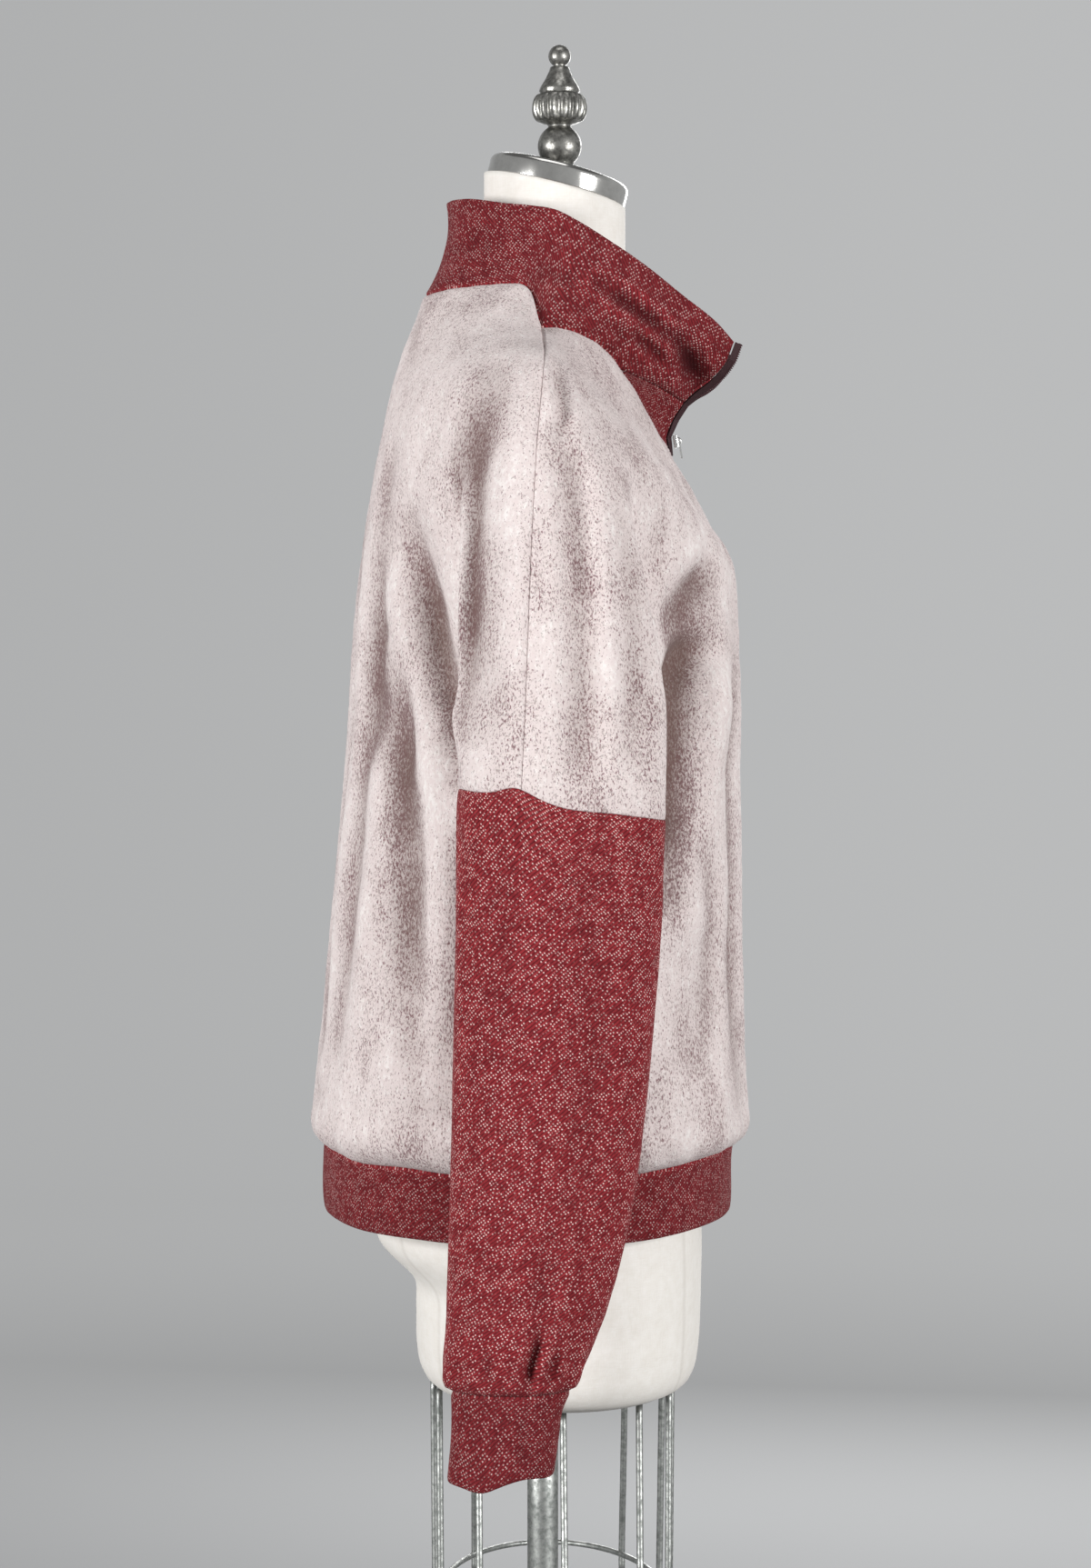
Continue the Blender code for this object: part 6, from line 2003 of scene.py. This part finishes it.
    def build_pole(self) -> None:
        """Turns the pole and the weighted base with its collar."""
        top, bottom = self.form_bottom - self.gap, self.base_thickness + self.gap
        heights = np.linspace(bottom, top, 8)
        pole = np.stack([np.full(8, self.pole_radius), heights], axis=1)
        mesh_piece("pole_steel", closed_loft(turned_rings(pole, 64)), GALVANISED, "pole")
        bore = self.pole_radius + self.gap
        disc = self.rounded(self.base_radius, self.base_thickness, 4.0)[:-1]
        top = self.base_thickness
        collar = [(bore + 9.6, top), (bore + 8.2, top + 0.9), (bore + 8, 14.5), (bore + 8, 36.5)]
        collar += [(bore + 7, 38.6), (bore + 4.8, 40.0), (bore + 1, 40.0), (bore, 39.0), (bore, 12.6)]
        profile = np.concatenate([disc, np.array(collar)])
        mesh_piece("stand_base_steel", closed_loft(turned_rings(profile, 160)), GALVANISED, "stand_base")

    def form_height(self, x: float, y: float) -> float:
        """The height of the form's underside above a place near its rounded lower edge."""
        fills = []
        for ring in FORM_RINGS[:4]:
            reach = ring.side_y - ring.front_y if y < ring.side_y else ring.back_y - ring.side_y
            across, along = abs(x) / ring.half_width, abs(y - ring.side_y) / reach
            fills.append(across**ring.fullness + along**ring.fullness)
        if fills[0] < 1:
            return FORM_RINGS[0].z
        return float(np.interp(-1.0, -np.array(fills), [ring.z for ring in FORM_RINGS[:4]]))

    def build_cage(self) -> None:
        """Bends the cage's rods out of round wire, each a smooth line from the form to below the ring."""
        weld = self.ring_radius + self.rod_radius + self.gap
        shares = np.array(self.rod_bends)
        for number, degrees in enumerate(self.rod_angles, start=1):
            angle = math.radians(degrees)
            half_y = self.rod_top_half_y + (self.ring_half_y + weld - self.rod_top_half_y) * shares
            half_out = self.rod_top_half_out + (self.ring_half_out + weld - self.rod_top_half_out) * shares
            x, y = half_out * math.sin(angle), self.cage_centre_y - half_y * math.cos(angle)
            inner = 1 - (self.rod_radius + self.gap) / math.hypot(x[0], y[0] - self.cage_centre_y)
            under = self.form_height(x[0] * inner, self.cage_centre_y + (y[0] - self.cage_centre_y) * inner)
            top = under - self.rod_top_clear
            line = np.stack([x, y, top + (self.ring_z - top) * shares], axis=1)
            line = np.concatenate([line, [(x[-1], y[-1], self.rod_end_z)]])
            fine = smooth(shares_along(line), line, np.linspace(0, 1, 26))
            rod = closed_loft(tube_rings(fine[::-1], self.rod_radius, 20))
            mesh_piece(f"cage_rod_{number:02d}_wire", rod, GALVANISED, f"cage_rod_{number:02d}")
        self.build_ring()

    def build_ring(self) -> None:
        """Bends the cage's ring: a round wire along an ellipse."""
        rows, columns = self.ring_grid
        around = np.linspace(0, 2 * np.pi, rows, endpoint=False)[:, None]
        across = np.linspace(0, 2 * np.pi, columns, endpoint=False)[None]
        thick = self.ring_radius * np.cos(across)
        x = (self.ring_half_out + thick) * np.sin(around)
        y = self.cage_centre_y - (self.ring_half_y + thick) * np.cos(around)
        z = self.ring_z + self.ring_radius * np.sin(across) + 0 * around
        index = numbered(rows, columns)
        faces = grid_faces(np.concatenate([index, index[:1]]), closed=True)[:, [1, 2, 3, 0]]
        points = np.stack([x, y, z], axis=-1).reshape(-1, 3)
        mesh_piece("cage_ring_wire", (points, faces), GALVANISED, "cage_ring")


# Studio


@dataclass
class Studio:
    """The seamless grey room, its softboxes and the camera."""

    columns: int = 96
    floor_profile: tuple[tuple[float, float], ...] = ((0.02, 0.0), (2.0, 0.0), (4.0, 0.0))
    floor_radius: float = 8.6
    cove_radius: float = 2.5
    wall_top: float = 9.0
    camera_distance: float = 2.8
    camera_height: float = 1.1145
    camera_lens: float = 89.9
    sensor: float = 36.0
    shift: float = -0.0478
    heading: float = math.radians(-91.9)
    axis_y: float = -0.00195
    ambient: float = 0.16

    def build(self) -> None:
        """Makes the room, a floor that rises into a round wall, then the lights and the camera."""
        turn = np.linspace(0, np.pi / 2, 16)
        cove = np.stack([np.sin(turn) - 1, 1 - np.cos(turn)], axis=1) * self.cove_radius
        cove[:, 0] += self.floor_radius
        profile = np.concatenate([self.floor_profile, cove, [[self.floor_radius, self.wall_top]]])
        rings = turned_rings(profile / MM, self.columns)
        faces = grid_faces(numbered(*rings.shape[:2]), closed=True)
        room = mesh_piece("studio_cove", (rings.reshape(-1, 3), faces), PAPER)
        room.visible_shadow = False
        room.visible_diffuse = False
        self.light_room()
        self.add_camera()

    def light_room(self) -> None:
        """Lights the room evenly and adds four softboxes, two of them on the camera's side."""
        world = bpy.data.worlds.new("studio_air")
        world.use_nodes = True
        sky = world.node_tree.nodes["Background"]
        sky.inputs["Color"].default_value = (1.0, 1.0, 1.0, 1.0)
        sky.inputs["Strength"].default_value = self.ambient
        bpy.context.scene.world = world
        target = Vector((0.0, 0.0, 1.1))
        for name, place, size, watts in (
            ("softbox_front", (-2.2, -2.45, 1.35), 1.1, 88.0),
            ("softbox_back", (-1.9, 2.65, 1.35), 1.1, 96.0),
            ("softbox_left", (3.1, -0.7, 1.9), 1.4, 62.0),
            ("softbox_above", (-0.5, 0.0, 3.4), 1.3, 9.0),
        ):
            lamp = bpy.data.lights.new(name, "AREA")
            lamp.shape = "SQUARE"
            lamp.size = size
            lamp.energy = watts
            holder = bpy.data.objects.new(name, lamp)
            holder.location = place
            holder.rotation_euler = (target - Vector(place)).to_track_quat("-Z", "Y").to_euler()
            bpy.context.scene.collection.objects.link(holder)

    def add_camera(self) -> None:
        """Sets the camera level with the chest, on the wearer's right, a little turned to the back."""
        data = bpy.data.cameras.new("camera")
        data.lens = self.camera_lens
        data.sensor_width = self.sensor
        data.sensor_fit = "AUTO"
        data.shift_y = self.shift
        data.clip_end = 100.0
        camera = bpy.data.objects.new("camera", data)
        ahead = Vector((-math.sin(self.heading), math.cos(self.heading), 0.0))
        camera.location = Vector((0.0, self.axis_y, self.camera_height)) - ahead * self.camera_distance
        camera.rotation_euler = (math.pi / 2, 0.0, self.heading)
        bpy.context.scene.collection.objects.link(camera)
        bpy.context.scene.camera = camera
        bpy.context.scene.view_settings.view_transform = "Standard"


def main() -> None:
    """Loads the frame and builds the form, the stand, the sweatshirt and the studio round it."""
    logging.basicConfig(level=logging.INFO, format="%(name)s %(message)s")
    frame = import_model()
    Studio().build()
    sheet = GarmentSheet(SweatshirtCut().patches())
    Sweatshirt().build(sheet)
    trim = Trim()
    for side in Side:
        trim.build_coil(side)
        trim.build_topstitch(sheet, side)
    DressForm().build()
    stand = Stand()
    stand.build_cap()
    stand.build_finial()
    stand.build_pole()
    stand.build_cage()
    for name, finish in (
        ("zip_tape_right", ZIP_TAPE),
        ("zip_tape_left", ZIP_TAPE),
        ("zip_slider", ZIP_METAL),
        ("zip_pull_tab", ZIP_METAL),
    ):
        for slot in frame["nodes"][name].material_slots:
            slot.material = finish.material()
        LOG.info("%s: %s", name, finish.name)


if __name__ == "__main__":
    main()
